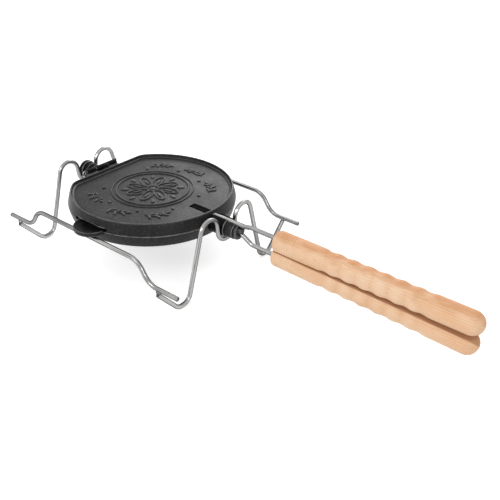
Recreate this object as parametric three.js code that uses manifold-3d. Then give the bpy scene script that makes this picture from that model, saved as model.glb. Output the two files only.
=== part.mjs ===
// Campfire waffle iron: two hinged cast plates with a pouring spout, carried by two journals in a bent wire stand,
// each plate with a steel rod and one half of a split beech handle. Millimetres, +Z up.
//
// While the part is modelled, X runs from the hinge to the grips along the journals' axis, Y runs across, and z = 0
// is the plane where the plates meet. The last lines move the origin to the middle of the footprint, on the ground.

import * as THREE from "three";
import { mergeVertices } from "three/addons/utils/BufferGeometryUtils.js";
import Module from "manifold-3d";

const wasm = await Module();
wasm.setup();

// Clearances, and how far a cutting body runs past what it cuts
const RUNNING_GAP = 0.3;
const WELD_GAP = 0.2;
const OVERRUN = 1;
const MERGE_NEAR = 1e-4;

// Wire of the stand and rods of the handles
const WIRE_D = 5.2;
const ROD_D = 5;
const WIRE_SIDES = 12;
const BEND_STEP_DEG = 15;

// How finely round shapes are divided
const BAR_SIDES = 24;
const BORE_SIDES = 16;
const SPOUT_SIDES = 40;
const PLATE_ARC_POINTS = 41;
const PLATE_CORNER_POINTS = 5;
const MOUTH_CORNER_STEPS = 5;
const PIN_WIRE_SIDES = 8;
const WELD_SIDES = 12;
const GRIP_SIDES = 20;
const GRIP_EDGE_STEPS = 3;
const GRIP_WAVE_STEPS = 4;
const GRIP_END_STEPS = 5;

// Cast plates
const PLATE_R = 100;
const PLATE_FLAT_SHARE = 0.825;
const PLATE_CORNER_R = 22;
const PLATE_H = 14.3;
const PLATE_DRAFT = 3.6;
const RIM_W = 2.8;
const RIM_EDGE = 1;
const RECESS_SLOPE = 1.4;
const RECESS_DEPTH = 4.5;
const CAVITY_INSET = 9;
const CAVITY_DRAFT = 1.2;
const CAVITY_DEPTH = 6.5;
const STUD_PITCH = 20;
const STUD_BASE = 12;
const STUD_TIP = 8;
const STUD_H = 4;
const STUD_MARGIN = 2;

// Spout on the lower plate, and the mouth over it in the upper one
const SPOUT_X = 1.5;
const SPOUT_SET_IN = 4.5;
const SPOUT_R = 21;
const SPOUT_WALL = 2.4;
const SPOUT_EDGE = 1.2;
const SPOUT_T = 4;
const SPOUT_TROUGH = 2;
const SPOUT_LIP_H = 1.8;
const MOUTH_HALF_W = 26;
const MOUTH_H = 4.5;
const MOUTH_CORNER_R = 4;

// Journals and hinge
const JOURNAL_R = 11.4;
const BOSS_R = 10;
const BOSS_SIDE_GAP = 1;
const BOSS_L = 16;
const TAB_L = 5.5;
const TAB_NEAR_Y = -4.5;
const TAB_FAR_Y = 1.35;
const TAB_Z = 0.5;
const TAB_H = 5;
const REAR_NECK_R = 9;
const DRUM_OUT = 3.2;
const DRUM_L = 7;
const FLANGE_R = 10.4;
const FLANGE_T = 4.5;
const FLANGE_STEP = 2.6;
const HINGE_SET_OUT = 10.5;
const HINGE_Z = 11;
const KNUCKLE_R = 3.3;
const KNUCKLE_MIDDLE_W = 18;
const KNUCKLE_SIDE_W = 14.7;
const LUG_DROP = 1;
const LUG_T = 4.5;
const WEB_T = 5;
const PIN_D = 3;
const PIN_EYE_R = 2;
const PIN_EYE_WIRE_D = 1.4;
const PIN_TAIL_L = 4;

// Rods
const UPPER_ROOT_Z = 8.6;
const UPPER_ROOT_IN = 34;
const SLOT_IN = 36;
const SLOT_END_IN = 10.5;
const SLOT_W = 9.5;
const SLOT_PAD_T = 1.6;
const UPPER_KINK_OUT = 40;
const UPPER_KINK_L = 12;
const STUB_IN = 6;
const STUB_OUT = 41;
const STUB_SIDE = 4.5;
const STUB_DROP = 2.6;
const LOWER_ROOT_Z = -1.6;
const LOWER_ROOT_OUT = 6;
const LOWER_KINK_OUT = 3;
const LOWER_KINK_L = 14;
const KINK_R = 9;
const ROD_IN_GRIP = 62;

// Grips
const UPPER_GRIP_OUT = 86.1;
const LOWER_GRIP_OUT = 85.3;
const GRIP_L = 230.4;
const GRIP_R = 12.2;
const GRIP_END_R = 11.9;
const GRIP_AXIS = 8.5;
const GRIP_ROD = 10.4;
const GRIP_EDGE_R = 4.5;
const GRIP_STRAIGHT_L = 65.9;
const GRIP_WAVES = 6;
const GRIP_WAVE_PITCH = 17.9;
const GRIP_WAVE_R = 11.6;
const GRIP_WAVE_DEPTH = 0.6;
const GRIP_SEAM = 0.3;
const UPPER_TILT = THREE.MathUtils.degToRad(0.68);
const LOWER_TILT = THREE.MathUtils.degToRad(1.85);

// Stand
const RAIL_GAP = 3;
const RAIL_OVERHANG = 20.6;
const RAIL_MID_Z = -7.2;
const RAIL_JOG_IN = 8;
const RAIL_JOG_RUN = 16.6;
const RAIL_BEND_R = 13;
const CRADLE_FRONT_OUT = 16;
const CRADLE_BACK_OUT = 38.5;
const SADDLE_HALF_W = 12.9;
const PEAK_Y = 22.4;
const PEAK_Z = 80;
const PEAK_R = 14;
const FOOT_IN = 38.1;
const FOOT_Z = -81.3;
const FOOT_R = 12.6;
const FOOT_SOLE_L = 3;
const FOOT_DEPTH = 67.3;
const CRADLE_END_OUT = 3.6;
const CRADLE_END_Z = -35.5;
const WELD_R = 3.6;

// Places that follow from the plates' size
const PLATE_FLAT = PLATE_R * PLATE_FLAT_SHARE;
const SPOUT_Y = PLATE_R - SPOUT_SET_IN;
const HINGE_X = -(PLATE_FLAT + HINGE_SET_OUT);
const CRADLE_FRONT_X = PLATE_R + CRADLE_FRONT_OUT;
const CRADLE_BACK_X = -(PLATE_FLAT + CRADLE_BACK_OUT);
const BOSS_X = CRADLE_FRONT_X + WIRE_D / 2 + BOSS_SIDE_GAP;
const BOSS_END_X = BOSS_X + BOSS_L;
const DRUM_END_X = CRADLE_BACK_X - DRUM_OUT;
const FLANGE_X = DRUM_END_X + DRUM_L + FLANGE_STEP;
const SADDLE_Z = -(JOURNAL_R + RUNNING_GAP + WIRE_D / 2);
const UPPER_GRIP_X = PLATE_R + UPPER_GRIP_OUT;
const LOWER_GRIP_X = PLATE_R + LOWER_GRIP_OUT;
const RAIL_Y = PLATE_R + RAIL_GAP + WIRE_D / 2;
const RAIL_HALF_L = RAIL_OVERHANG - CRADLE_BACK_X;
const RAIL_JOG_X = PLATE_R - RAIL_JOG_IN;
const FOOT_Y = RAIL_Y - FOOT_IN;
const CRADLE_END_Y = RAIL_Y + CRADLE_END_OUT;

// Makes one closed body for joining and cutting from a three.js geometry.
function toSolid(geometry) {
  const bare = geometry.clone();
  bare.deleteAttribute("normal");
  bare.deleteAttribute("uv");
  const merged = mergeVertices(bare, MERGE_NEAR);
  return new wasm.Manifold(new wasm.Mesh({
    numProp: 3,
    vertProperties: new Float32Array(merged.attributes.position.array),
    triVerts: new Uint32Array(merged.index.array),
  }));
}

// Gives a joined or cut body back as a three.js geometry.
function toGeometry(solid) {
  const { vertProperties, triVerts, numProp } = solid.getMesh();
  const count = vertProperties.length / numProp;
  const positions = new Float32Array(count * 3);
  for (let i = 0; i < count; i += 1) {
    positions.set(vertProperties.subarray(i * numProp, i * numProp + 3), i * 3);
  }
  const geometry = new THREE.BufferGeometry();
  geometry.setAttribute("position", new THREE.BufferAttribute(positions, 3));
  geometry.setIndex(new THREE.BufferAttribute(new Uint32Array(triVerts), 1));
  geometry.computeVertexNormals();
  return geometry;
}

// A box between two corners.
function block(from, to) {
  const size = to.map((v, i) => v - from[i]);
  const geometry = new THREE.BoxGeometry(...size);
  geometry.translate(...from.map((v, i) => (v + to[i]) / 2));
  return toSolid(geometry);
}

// A round bar along X, or along Y when across is true, between two places on that axis.
function bar(radius, from, to, { x = 0, y = 0, z = 0, across = false, sides = BAR_SIDES } = {}) {
  const geometry = new THREE.CylinderGeometry(radius, radius, to - from, sides);
  geometry.translate(0, (from + to) / 2, 0);
  if (!across) {
    geometry.rotateZ(-Math.PI / 2);
  }
  geometry.translate(x, y, z);
  return toSolid(geometry);
}

// The centre line of a bent wire: straight runs between corners, each corner rounded to its own bend radius. Its
// stations are the ends of the runs and even steps round each bend.
class BentPath extends THREE.Curve {
  constructor(corners, radii) {
    super();
    this.points = [corners[0]];
    this.tangents = [corners[1].clone().sub(corners[0]).normalize()];
    for (let i = 1; i < corners.length - 1; i += 1) {
      this.addBend(corners[i - 1], corners[i], corners[i + 1], radii[i - 1]);
    }
    this.points.push(corners.at(-1));
    this.tangents.push(corners.at(-1).clone().sub(corners.at(-2)).normalize());
  }

  addBend(before, corner, after, radius) {
    const into = corner.clone().sub(before).normalize();
    const out = after.clone().sub(corner).normalize();
    const turn = into.angleTo(out);
    const axis = into.clone().cross(out).normalize();
    const start = corner.clone().addScaledVector(into, -radius * Math.tan(turn / 2));
    const centre = start.clone().addScaledVector(axis.clone().cross(into), radius);
    const steps = Math.ceil(THREE.MathUtils.radToDeg(turn) / BEND_STEP_DEG);
    for (let k = 0; k <= steps; k += 1) {
      const angle = (turn * k) / steps;
      this.points.push(start.clone().sub(centre).applyAxisAngle(axis, angle).add(centre));
      this.tangents.push(into.clone().applyAxisAngle(axis, angle));
    }
  }

  get steps() {
    return this.points.length - 1;
  }

  getPointAt(share) {
    return this.points[Math.round(share * this.steps)].clone();
  }

  getTangentAt(share, target = new THREE.Vector3()) {
    return target.copy(this.tangents[Math.round(share * this.steps)]);
  }
}

// A wire of round section along a bent path. The section has flats to its sides, so that a foot stands on one.
function wire(path, diameter) {
  const section = new THREE.Shape(Array.from({ length: WIRE_SIDES }, (_, k) => {
    const angle = ((k + 1 / 2) * 2 * Math.PI) / WIRE_SIDES;
    return new THREE.Vector2(Math.cos(angle), Math.sin(angle)).multiplyScalar(diameter / 2);
  }));
  return new THREE.ExtrudeGeometry(section, { steps: path.steps, extrudePath: path, bevelEnabled: false });
}

const CORNER_ANGLE = Math.acos(-(PLATE_FLAT - PLATE_CORNER_R) / (PLATE_R - PLATE_CORNER_R));

// The plates' outline seen from above, moved in by an inset: one long arc, a straight hinge side and two rounded
// corners. The corner centres stay put, so every inset has the same number of points.
function plateOutline(inset) {
  const points = [];
  const addArc = (x, y, radius, from, to, count) => {
    for (let k = 0; k < count; k += 1) {
      const angle = THREE.MathUtils.lerp(from, to, k / (count - 1));
      points.push([x + (radius - inset) * Math.cos(angle), y + (radius - inset) * Math.sin(angle)]);
    }
  };
  const cx = (PLATE_R - PLATE_CORNER_R) * Math.cos(CORNER_ANGLE);
  const cy = (PLATE_R - PLATE_CORNER_R) * Math.sin(CORNER_ANGLE);
  addArc(0, 0, PLATE_R, -CORNER_ANGLE, CORNER_ANGLE, PLATE_ARC_POINTS);
  addArc(cx, cy, PLATE_CORNER_R, CORNER_ANGLE, Math.PI, PLATE_CORNER_POINTS);
  addArc(cx, -cy, PLATE_CORNER_R, Math.PI, 2 * Math.PI - CORNER_ANGLE, PLATE_CORNER_POINTS);
  return mergeNear(points);
}

// Drops each point that repeats the one before it, round a closed outline.
function mergeNear(points) {
  return points.filter(([x, y], i) => {
    const [px, py] = points[(i + points.length - 1) % points.length];
    return Math.hypot(x - px, y - py) > RUNNING_GAP;
  });
}

// A closed body through level rings of the plates' outline, each given as [inset, height] from the lowest up.
function plateLayers(levels) {
  const rings = levels.map(([inset, z]) => plateOutline(inset).map(([x, y]) => [x, y, z]));
  const count = rings[0].length;
  const index = [];
  for (let r = 0; r < rings.length - 1; r += 1) {
    for (let k = 0; k < count; k += 1) {
      const a = r * count + k;
      const b = r * count + ((k + 1) % count);
      index.push(a, b, b + count, a, b + count, a + count);
    }
  }
  const top = (rings.length - 1) * count;
  for (let k = 1; k < count - 1; k += 1) {
    index.push(0, k + 1, k, top, top + k, top + k + 1);
  }
  const geometry = new THREE.BufferGeometry();
  geometry.setAttribute("position", new THREE.Float32BufferAttribute(rings.flat(2), 3));
  geometry.setIndex(index);
  return toSolid(geometry);
}

// Whether a square stud at a place keeps its margin to the cavity's edge.
function studFits(x, y) {
  const reach = STUD_BASE / 2 + STUD_MARGIN;
  const farX = Math.abs(x) + reach;
  const farY = Math.abs(y) + reach;
  const edge = CAVITY_INSET + CAVITY_DRAFT;
  return Math.hypot(farX, farY) < PLATE_R - edge && x - reach > -(PLATE_FLAT - edge);
}

// The square studs of the waffle pattern, as bodies that hang from the cavity's roof.
function studs() {
  const bodies = [];
  const reach = Math.ceil(PLATE_R / STUD_PITCH) + 1 / 2;
  for (let i = -reach; i <= reach; i += 1) {
    for (let j = -reach; j <= reach; j += 1) {
      if (studFits(i * STUD_PITCH, j * STUD_PITCH)) {
        const height = STUD_H + OVERRUN / 2;
        const stud = new THREE.CylinderGeometry(STUD_BASE / Math.SQRT2, STUD_TIP / Math.SQRT2, height, 4);
        stud.rotateY(Math.PI / 4);
        stud.rotateX(Math.PI / 2);
        stud.translate(i * STUD_PITCH, j * STUD_PITCH, CAVITY_DEPTH - STUD_H + height / 2);
        bodies.push(toSolid(stud));
      }
    }
  }
  return bodies;
}

// The casting that both plates start from, lying as the upper one does: a drafted wall, a recessed outer face inside
// a raised rim, and the cavity with its studs.
function plateBlank() {
  const rimInset = PLATE_DRAFT + RIM_EDGE;
  const recessZ = PLATE_H - RECESS_DEPTH;
  const outer = plateLayers([
    [0, RUNNING_GAP / 2],
    [PLATE_DRAFT, PLATE_H - RIM_EDGE],
    [rimInset, PLATE_H],
    [rimInset + RIM_W - RIM_EDGE, PLATE_H],
    [rimInset + RIM_W, PLATE_H - RIM_EDGE],
    [rimInset + RIM_W + RECESS_SLOPE, recessZ],
  ]);
  const cavity = plateLayers([
    [CAVITY_INSET, -OVERRUN],
    [CAVITY_INSET, 0],
    [CAVITY_INSET + CAVITY_DRAFT, CAVITY_DEPTH],
  ]);
  return studs().reduce((body, stud) => body.add(stud), outer.subtract(cavity));
}

const OVER_JOURNAL = JOURNAL_R + OVERRUN;

// The lower half of a neck's root, which grows out of the lower plate's wall under the upper one.
function neckRoot(radius, from, to) {
  const above = block(
    [from - OVERRUN, -OVER_JOURNAL, -RUNNING_GAP / 2],
    [to + OVERRUN, OVER_JOURNAL, OVER_JOURNAL],
  );
  return bar(radius, from, to).subtract(above);
}

const NECK_FRONT_X = PLATE_R + RUNNING_GAP * 2;
const NECK_BACK_X = -(PLATE_FLAT + RUNNING_GAP * 2);
const ROD_BORE_R = ROD_D / 2 + RUNNING_GAP;
const SLOT_FLOOR_Z = UPPER_ROOT_Z - ROD_BORE_R;

// The front journal: neck, boss and tab, with a bore for the lower rod and an open notch that the upper rod drops into.
function frontJournal() {
  const tab = block(
    [BOSS_END_X - OVERRUN, TAB_NEAR_Y, TAB_Z],
    [BOSS_END_X + TAB_L, TAB_FAR_Y, TAB_Z + TAB_H],
  );
  const notch = (y, z) => block(
    [NECK_FRONT_X - OVERRUN, y - ROD_BORE_R, z - ROD_BORE_R],
    [BOSS_END_X + TAB_L + OVERRUN, y + ROD_BORE_R, OVER_JOURNAL],
  );
  const boreX = PLATE_R + LOWER_ROOT_OUT - RUNNING_GAP;
  return neckRoot(JOURNAL_R, PLATE_R - CAVITY_INSET + OVERRUN, NECK_FRONT_X + OVERRUN)
    .add(bar(JOURNAL_R, NECK_FRONT_X, BOSS_X + OVERRUN / 2))
    .add(bar(BOSS_R, BOSS_X, BOSS_END_X))
    .add(tab)
    .subtract(notch(0, UPPER_ROOT_Z))
    .subtract(notch(STUB_SIDE, UPPER_ROOT_Z - STUB_DROP))
    .subtract(bar(ROD_BORE_R, boreX, BOSS_END_X + TAB_L + OVERRUN, { z: LOWER_ROOT_Z }));
}

// The rear journal: neck, flange and the end drum that lies in the saddle, with the hinge's middle knuckle.
function rearJournal() {
  const half = KNUCKLE_MIDDLE_W / 2;
  const web = block([HINGE_X - WEB_T / 2, -half, 0], [HINGE_X + WEB_T / 2, half, HINGE_Z]);
  return neckRoot(REAR_NECK_R, NECK_BACK_X - OVERRUN, -(PLATE_FLAT - CAVITY_INSET + OVERRUN))
    .add(bar(REAR_NECK_R, DRUM_END_X + OVERRUN, NECK_BACK_X))
    .add(bar(FLANGE_R, FLANGE_X, FLANGE_X + FLANGE_T))
    .add(bar(JOURNAL_R, DRUM_END_X, DRUM_END_X + DRUM_L))
    .add(web)
    .add(bar(KNUCKLE_R, -half, half, { x: HINGE_X, z: HINGE_Z, across: true }))
    .subtract(pinBore());
}

function pinBore() {
  const reach = KNUCKLE_MIDDLE_W / 2 + KNUCKLE_SIDE_W + OVERRUN * 2;
  const axis = { x: HINGE_X, z: HINGE_Z, across: true, sides: BORE_SIDES };
  return bar(PIN_D / 2 + RUNNING_GAP, -reach, reach, axis);
}

// The spout's round body under its lip, kept out of the cavity and out from under the upper plate's wall.
function spoutBody() {
  const profile = [
    new THREE.Vector2(0, -SPOUT_T),
    new THREE.Vector2(SPOUT_R - SPOUT_EDGE, -SPOUT_T),
    new THREE.Vector2(SPOUT_R, -SPOUT_T + SPOUT_EDGE),
    new THREE.Vector2(SPOUT_R, SPOUT_LIP_H),
    new THREE.Vector2(0, SPOUT_LIP_H),
  ];
  const spout = new THREE.LatheGeometry(profile, SPOUT_SIDES);
  spout.rotateX(Math.PI / 2);
  spout.translate(SPOUT_X, -SPOUT_Y, 0);
  const cavity = plateLayers([
    [CAVITY_INSET + CAVITY_DRAFT, -CAVITY_DEPTH],
    [CAVITY_INSET, 0],
  ]);
  const above = plateLayers([
    [-RUNNING_GAP, -RUNNING_GAP / 2],
    [-RUNNING_GAP, SPOUT_LIP_H + OVERRUN],
  ]);
  return toSolid(spout).subtract(cavity).subtract(above);
}

// The round hollow that lets batter run from the cavity over the spout.
function troughCut() {
  const radius = SPOUT_R - SPOUT_WALL;
  const height = SPOUT_TROUGH + SPOUT_LIP_H + OVERRUN;
  const trough = new THREE.CylinderGeometry(radius, radius, height, SPOUT_SIDES);
  trough.rotateX(Math.PI / 2);
  trough.translate(SPOUT_X, -SPOUT_Y, height / 2 - SPOUT_TROUGH);
  return toSolid(trough);
}

function lowerPlate() {
  return plateBlank().mirror([0, 0, 1])
    .add(spoutBody())
    .subtract(troughCut())
    .add(frontJournal())
    .add(rearJournal());
}

// One of the upper plate's hinge lugs, from its wall back round the pin.
function hingeLug(side) {
  const inner = KNUCKLE_MIDDLE_W / 2 + RUNNING_GAP;
  const [from, to] = [side * inner, side * (inner + KNUCKLE_SIDE_W)].sort((a, b) => a - b);
  const wallX = -(PLATE_FLAT - PLATE_DRAFT - RIM_EDGE * 2);
  const top = HINGE_Z - LUG_DROP;
  const arm = block([HINGE_X, from, top - LUG_T], [wallX, to, top]);
  return arm.add(bar(KNUCKLE_R, from, to, { x: HINGE_X, z: HINGE_Z, across: true }));
}

// The wide low mouth in the upper plate's wall, over the spout.
function mouthCut() {
  const cornerX = MOUTH_HALF_W - MOUTH_CORNER_R;
  const cornerZ = MOUTH_H - MOUTH_CORNER_R;
  const shape = new THREE.Shape();
  shape.moveTo(-MOUTH_HALF_W, -OVERRUN);
  shape.lineTo(MOUTH_HALF_W, -OVERRUN);
  shape.absarc(cornerX, cornerZ, MOUTH_CORNER_R, 0, Math.PI / 2);
  shape.absarc(-cornerX, cornerZ, MOUTH_CORNER_R, Math.PI / 2, Math.PI);
  const depth = CAVITY_INSET * 2 + OVERRUN;
  const options = { depth, bevelEnabled: false, curveSegments: MOUTH_CORNER_STEPS };
  const geometry = new THREE.ExtrudeGeometry(shape, options);
  geometry.rotateX(Math.PI / 2);
  geometry.translate(SPOUT_X, depth - PLATE_R - OVERRUN, 0);
  return toSolid(geometry);
}

function upperPlate() {
  const half = SLOT_W / 2;
  const pad = block(
    [PLATE_R - SLOT_IN - half, -half - SLOT_PAD_T, SLOT_FLOOR_Z - SLOT_PAD_T],
    [PLATE_R - CAVITY_INSET + OVERRUN, half + SLOT_PAD_T, CAVITY_DEPTH + OVERRUN],
  );
  const slot = block([PLATE_R - SLOT_IN, -half, SLOT_FLOOR_Z], [PLATE_R - SLOT_END_IN, half, PLATE_H]);
  const stubX = PLATE_R - STUB_IN - RUNNING_GAP;
  return plateBlank()
    .add(pad)
    .add(hingeLug(-1))
    .add(hingeLug(1))
    .subtract(pinBore())
    .subtract(slot)
    .subtract(bar(ROD_BORE_R, PLATE_R - SLOT_END_IN - OVERRUN, NECK_FRONT_X, { z: UPPER_ROOT_Z }))
    .subtract(bar(ROD_BORE_R, stubX, NECK_FRONT_X, { y: STUB_SIDE, z: UPPER_ROOT_Z - STUB_DROP }))
    .subtract(mouthCut());
}

// The hinge pin: a split pin with its eye at the near end and its two tails bent apart at the far end.
function hingePin() {
  const reach = KNUCKLE_MIDDLE_W / 2 + RUNNING_GAP + KNUCKLE_SIDE_W;
  const shank = bar(PIN_D / 2, -reach - RUNNING_GAP, reach + PIN_D / 2, { across: true, sides: BORE_SIDES });
  const eye = new THREE.TorusGeometry(PIN_EYE_R, PIN_EYE_WIRE_D / 2, PIN_WIRE_SIDES, BORE_SIDES);
  eye.rotateY(Math.PI / 2);
  eye.translate(0, -reach - PIN_EYE_R - PIN_EYE_WIRE_D / 2, 0);
  const wireR = PIN_EYE_WIRE_D / 2;
  const tail = new THREE.CylinderGeometry(wireR, wireR, 2 * PIN_TAIL_L, PIN_WIRE_SIDES);
  tail.rotateX(Math.PI / 2);
  tail.translate(0, reach + PIN_D / 2 - PIN_EYE_WIRE_D / 4, 0);
  return shank.add(toSolid(eye)).add(toSolid(tail));
}

// A rod's centre line: level from its root to a kink, then along its grip's axis. A grip is { side, x, tilt }.
function rodPath(grip, rootX, rootZ, kinkX, kinkLength) {
  const height = (x) => grip.side * (GRIP_SEAM + GRIP_ROD) - Math.tan(grip.tilt) * (x - grip.x);
  const at = (x) => new THREE.Vector3(x, 0, height(x));
  const corners = [
    new THREE.Vector3(rootX, 0, rootZ),
    new THREE.Vector3(kinkX, 0, rootZ),
    at(kinkX + kinkLength),
    at(grip.x + ROD_IN_GRIP),
  ];
  return new BentPath(corners, [KINK_R, KINK_R]);
}

// One grip, turned round with its finger waves and then sawn flat. It lies along X with its flat face down.
function gripGeometry() {
  const profile = [new THREE.Vector2(0, 0), new THREE.Vector2(GRIP_R - GRIP_EDGE_R, 0)];
  for (let k = 1; k <= GRIP_EDGE_STEPS; k += 1) {
    const angle = (k * Math.PI) / 2 / GRIP_EDGE_STEPS;
    profile.push(new THREE.Vector2(
      GRIP_R - GRIP_EDGE_R * (1 - Math.sin(angle)),
      GRIP_EDGE_R * (1 - Math.cos(angle)),
    ));
  }
  const halfWave = GRIP_WAVE_STEPS / 2;
  for (let k = -halfWave; k <= GRIP_WAVES * GRIP_WAVE_STEPS + halfWave; k += 1) {
    const radius = GRIP_WAVE_R - GRIP_WAVE_DEPTH * Math.cos((k * 2 * Math.PI) / GRIP_WAVE_STEPS);
    profile.push(new THREE.Vector2(radius, GRIP_STRAIGHT_L + (k * GRIP_WAVE_PITCH) / GRIP_WAVE_STEPS));
  }
  for (let k = 0; k <= GRIP_END_STEPS; k += 1) {
    const angle = (k * Math.PI) / 2 / GRIP_END_STEPS;
    const radius = k < GRIP_END_STEPS ? GRIP_END_R * Math.cos(angle) : 0;
    profile.push(new THREE.Vector2(radius, GRIP_L - GRIP_END_R * (1 - Math.sin(angle))));
  }
  const turned = new THREE.LatheGeometry(profile, GRIP_SIDES);
  turned.rotateZ(-Math.PI / 2);
  turned.translate(0, 0, GRIP_AXIS);
  const sawn = block([-OVERRUN, -GRIP_R - OVERRUN, -GRIP_R], [GRIP_L + OVERRUN, GRIP_R + OVERRUN, 0]);
  const bore = bar(ROD_BORE_R, -OVERRUN, ROD_IN_GRIP + RUNNING_GAP * 2, { z: GRIP_ROD, sides: WIRE_SIDES });
  return toGeometry(toSolid(turned).subtract(sawn).subtract(bore));
}

// The slope of a cradle's outer leg, from its foot up to the rail.
const LEG_SLOPE = Math.atan2(CRADLE_END_Z - FOOT_Z, CRADLE_END_Y - FOOT_Y);
const RAIL_LOW_Z = FOOT_Z + Math.tan(LEG_SLOPE) * (RAIL_Y - FOOT_Y) + (WIRE_D + WELD_GAP) / Math.cos(LEG_SLOPE);

function railPath(side) {
  const at = (x, z) => new THREE.Vector3(x, side * RAIL_Y, z);
  const [inner, outer] = [RAIL_JOG_X - RAIL_JOG_RUN / 2, RAIL_JOG_X + RAIL_JOG_RUN / 2];
  const corners = [
    at(-RAIL_HALF_L, RAIL_LOW_Z),
    at(-outer, RAIL_LOW_Z),
    at(-inner, RAIL_MID_Z),
    at(inner, RAIL_MID_Z),
    at(outer, RAIL_LOW_Z),
    at(RAIL_HALF_L, RAIL_LOW_Z),
  ];
  return new BentPath(corners, corners.slice(2).map(() => RAIL_BEND_R));
}

// Where a line between two [y, z] points reaches a height.
function crossing([ya, za], [yb, zb], z) {
  return ya + ((yb - ya) * (z - za)) / (zb - za);
}

// One cradle's path in its own plane: outer leg, foot, peak, saddle, and the same mirrored. Each foot has a short
// level sole between its two bends.
function cradlePath(x) {
  const soleIn = crossing([PEAK_Y, PEAK_Z], [FOOT_Y, FOOT_Z], -FOOT_DEPTH);
  const soleOut = crossing([FOOT_Y, FOOT_Z], [CRADLE_END_Y, CRADLE_END_Z], -FOOT_DEPTH);
  const half = [
    [SADDLE_HALF_W, SADDLE_Z],
    [PEAK_Y, PEAK_Z],
    [soleIn, -FOOT_DEPTH],
    [soleOut, -FOOT_DEPTH],
    [CRADLE_END_Y, CRADLE_END_Z],
  ];
  const corners = [
    ...half.toReversed().map(([y, z]) => new THREE.Vector3(x, -y, z)),
    ...half.map(([y, z]) => new THREE.Vector3(x, y, z)),
  ];
  const [innerBend, outerBend] = soleBends(soleOut - soleIn);
  const bends = [outerBend, innerBend, PEAK_R, saddleBend()];
  return new BentPath(corners, [...bends, ...bends.toReversed()]);
}

// The two bends of a foot, as large as leaves its sole, and no larger than the foot's own radius.
function soleBends(width) {
  const innerTurn = Math.atan2(PEAK_Z - FOOT_Z, FOOT_Y - PEAK_Y);
  const room = (width - FOOT_SOLE_L) / (Math.tan(innerTurn / 2) + Math.tan(LEG_SLOPE / 2));
  const bend = Math.min(FOOT_R, room);
  return [bend, bend];
}

// The saddle's two bends, as large as its width leaves, so that together they make a round cup for the journal.
function saddleBend() {
  const turn = Math.atan2(PEAK_Z - SADDLE_Z, PEAK_Y - SADDLE_HALF_W);
  return (SADDLE_HALF_W - RUNNING_GAP) / Math.tan(turn / 2);
}

// A weld bead between a rail and a cradle's outer leg, hollowed where the two wires pass.
function weldGeometry(side, x) {
  const touch = (WIRE_D + WELD_GAP) / 2;
  const bead = new THREE.SphereGeometry(WELD_R, WELD_SIDES, WELD_SIDES);
  bead.translate(x, side * (RAIL_Y + touch * Math.sin(LEG_SLOPE)), RAIL_LOW_Z - touch * Math.cos(LEG_SLOPE));
  const around = (path) => toSolid(wire(path, WIRE_D + WELD_GAP * 2));
  return toGeometry(toSolid(bead).subtract(around(railPath(side))).subtract(around(cradlePath(x))));
}

const castIron = () => new THREE.MeshStandardMaterial({ color: 0x3c3c3e, roughness: 0.72, metalness: 0.35 });
const steel = () => new THREE.MeshStandardMaterial({ color: 0xa9a9a8, roughness: 0.32, metalness: 1 });
const beech = () => new THREE.MeshStandardMaterial({ color: 0xe8bd90, roughness: 0.6, metalness: 0 });

const part = new THREE.Group();

function place(name, geometry, material, parent = part) {
  const mesh = new THREE.Mesh(geometry, material);
  mesh.name = name;
  parent.add(mesh);
  return mesh;
}

// Stand
for (const [name, side] of [["near", -1], ["far", 1]]) {
  place(`rail_${name}`, wire(railPath(side), WIRE_D), steel());
}
for (const [end, x] of [["front", CRADLE_FRONT_X], ["back", CRADLE_BACK_X]]) {
  place(`cradle_${end}`, wire(cradlePath(x), WIRE_D), steel());
  for (const [name, side] of [["near", -1], ["far", 1]]) {
    place(`weld_${end}_${name}`, weldGeometry(side, x), steel());
  }
}

// Iron
place("lower_plate", toGeometry(lowerPlate()), castIron());
place("upper_plate", toGeometry(upperPlate()), castIron());
place("hinge_pin", toGeometry(hingePin()), steel()).position.set(HINGE_X, 0, HINGE_Z);

// Handles
const upperSeat = { side: 1, x: UPPER_GRIP_X, tilt: UPPER_TILT };
const lowerSeat = { side: -1, x: LOWER_GRIP_X, tilt: LOWER_TILT };
const upperKinkX = PLATE_R + UPPER_KINK_OUT;
const lowerKinkX = BOSS_END_X + LOWER_KINK_OUT;
const upperPath = rodPath(upperSeat, PLATE_R - UPPER_ROOT_IN, UPPER_ROOT_Z, upperKinkX, UPPER_KINK_L);
const lowerPath = rodPath(lowerSeat, PLATE_R + LOWER_ROOT_OUT, LOWER_ROOT_Z, lowerKinkX, LOWER_KINK_L);
const stubPath = new BentPath([
  new THREE.Vector3(PLATE_R - STUB_IN, STUB_SIDE, UPPER_ROOT_Z - STUB_DROP),
  new THREE.Vector3(PLATE_R + STUB_OUT, STUB_SIDE, UPPER_ROOT_Z - STUB_DROP),
], []);
place("upper_rod", wire(upperPath, ROD_D), steel());
place("upper_rod_stub", wire(stubPath, ROD_D), steel());
place("lower_rod", wire(lowerPath, ROD_D), steel());

const upperGrip = place("upper_grip", gripGeometry(), beech());
upperGrip.position.set(UPPER_GRIP_X, 0, GRIP_SEAM);
upperGrip.rotation.set(0, UPPER_TILT, 0);
const lowerGripHolder = new THREE.Group();
lowerGripHolder.position.set(LOWER_GRIP_X, 0, -GRIP_SEAM);
lowerGripHolder.rotation.set(0, LOWER_TILT, 0);
place("lower_grip", gripGeometry(), beech(), lowerGripHolder).rotation.set(Math.PI, 0, 0);
part.add(lowerGripHolder);

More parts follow.
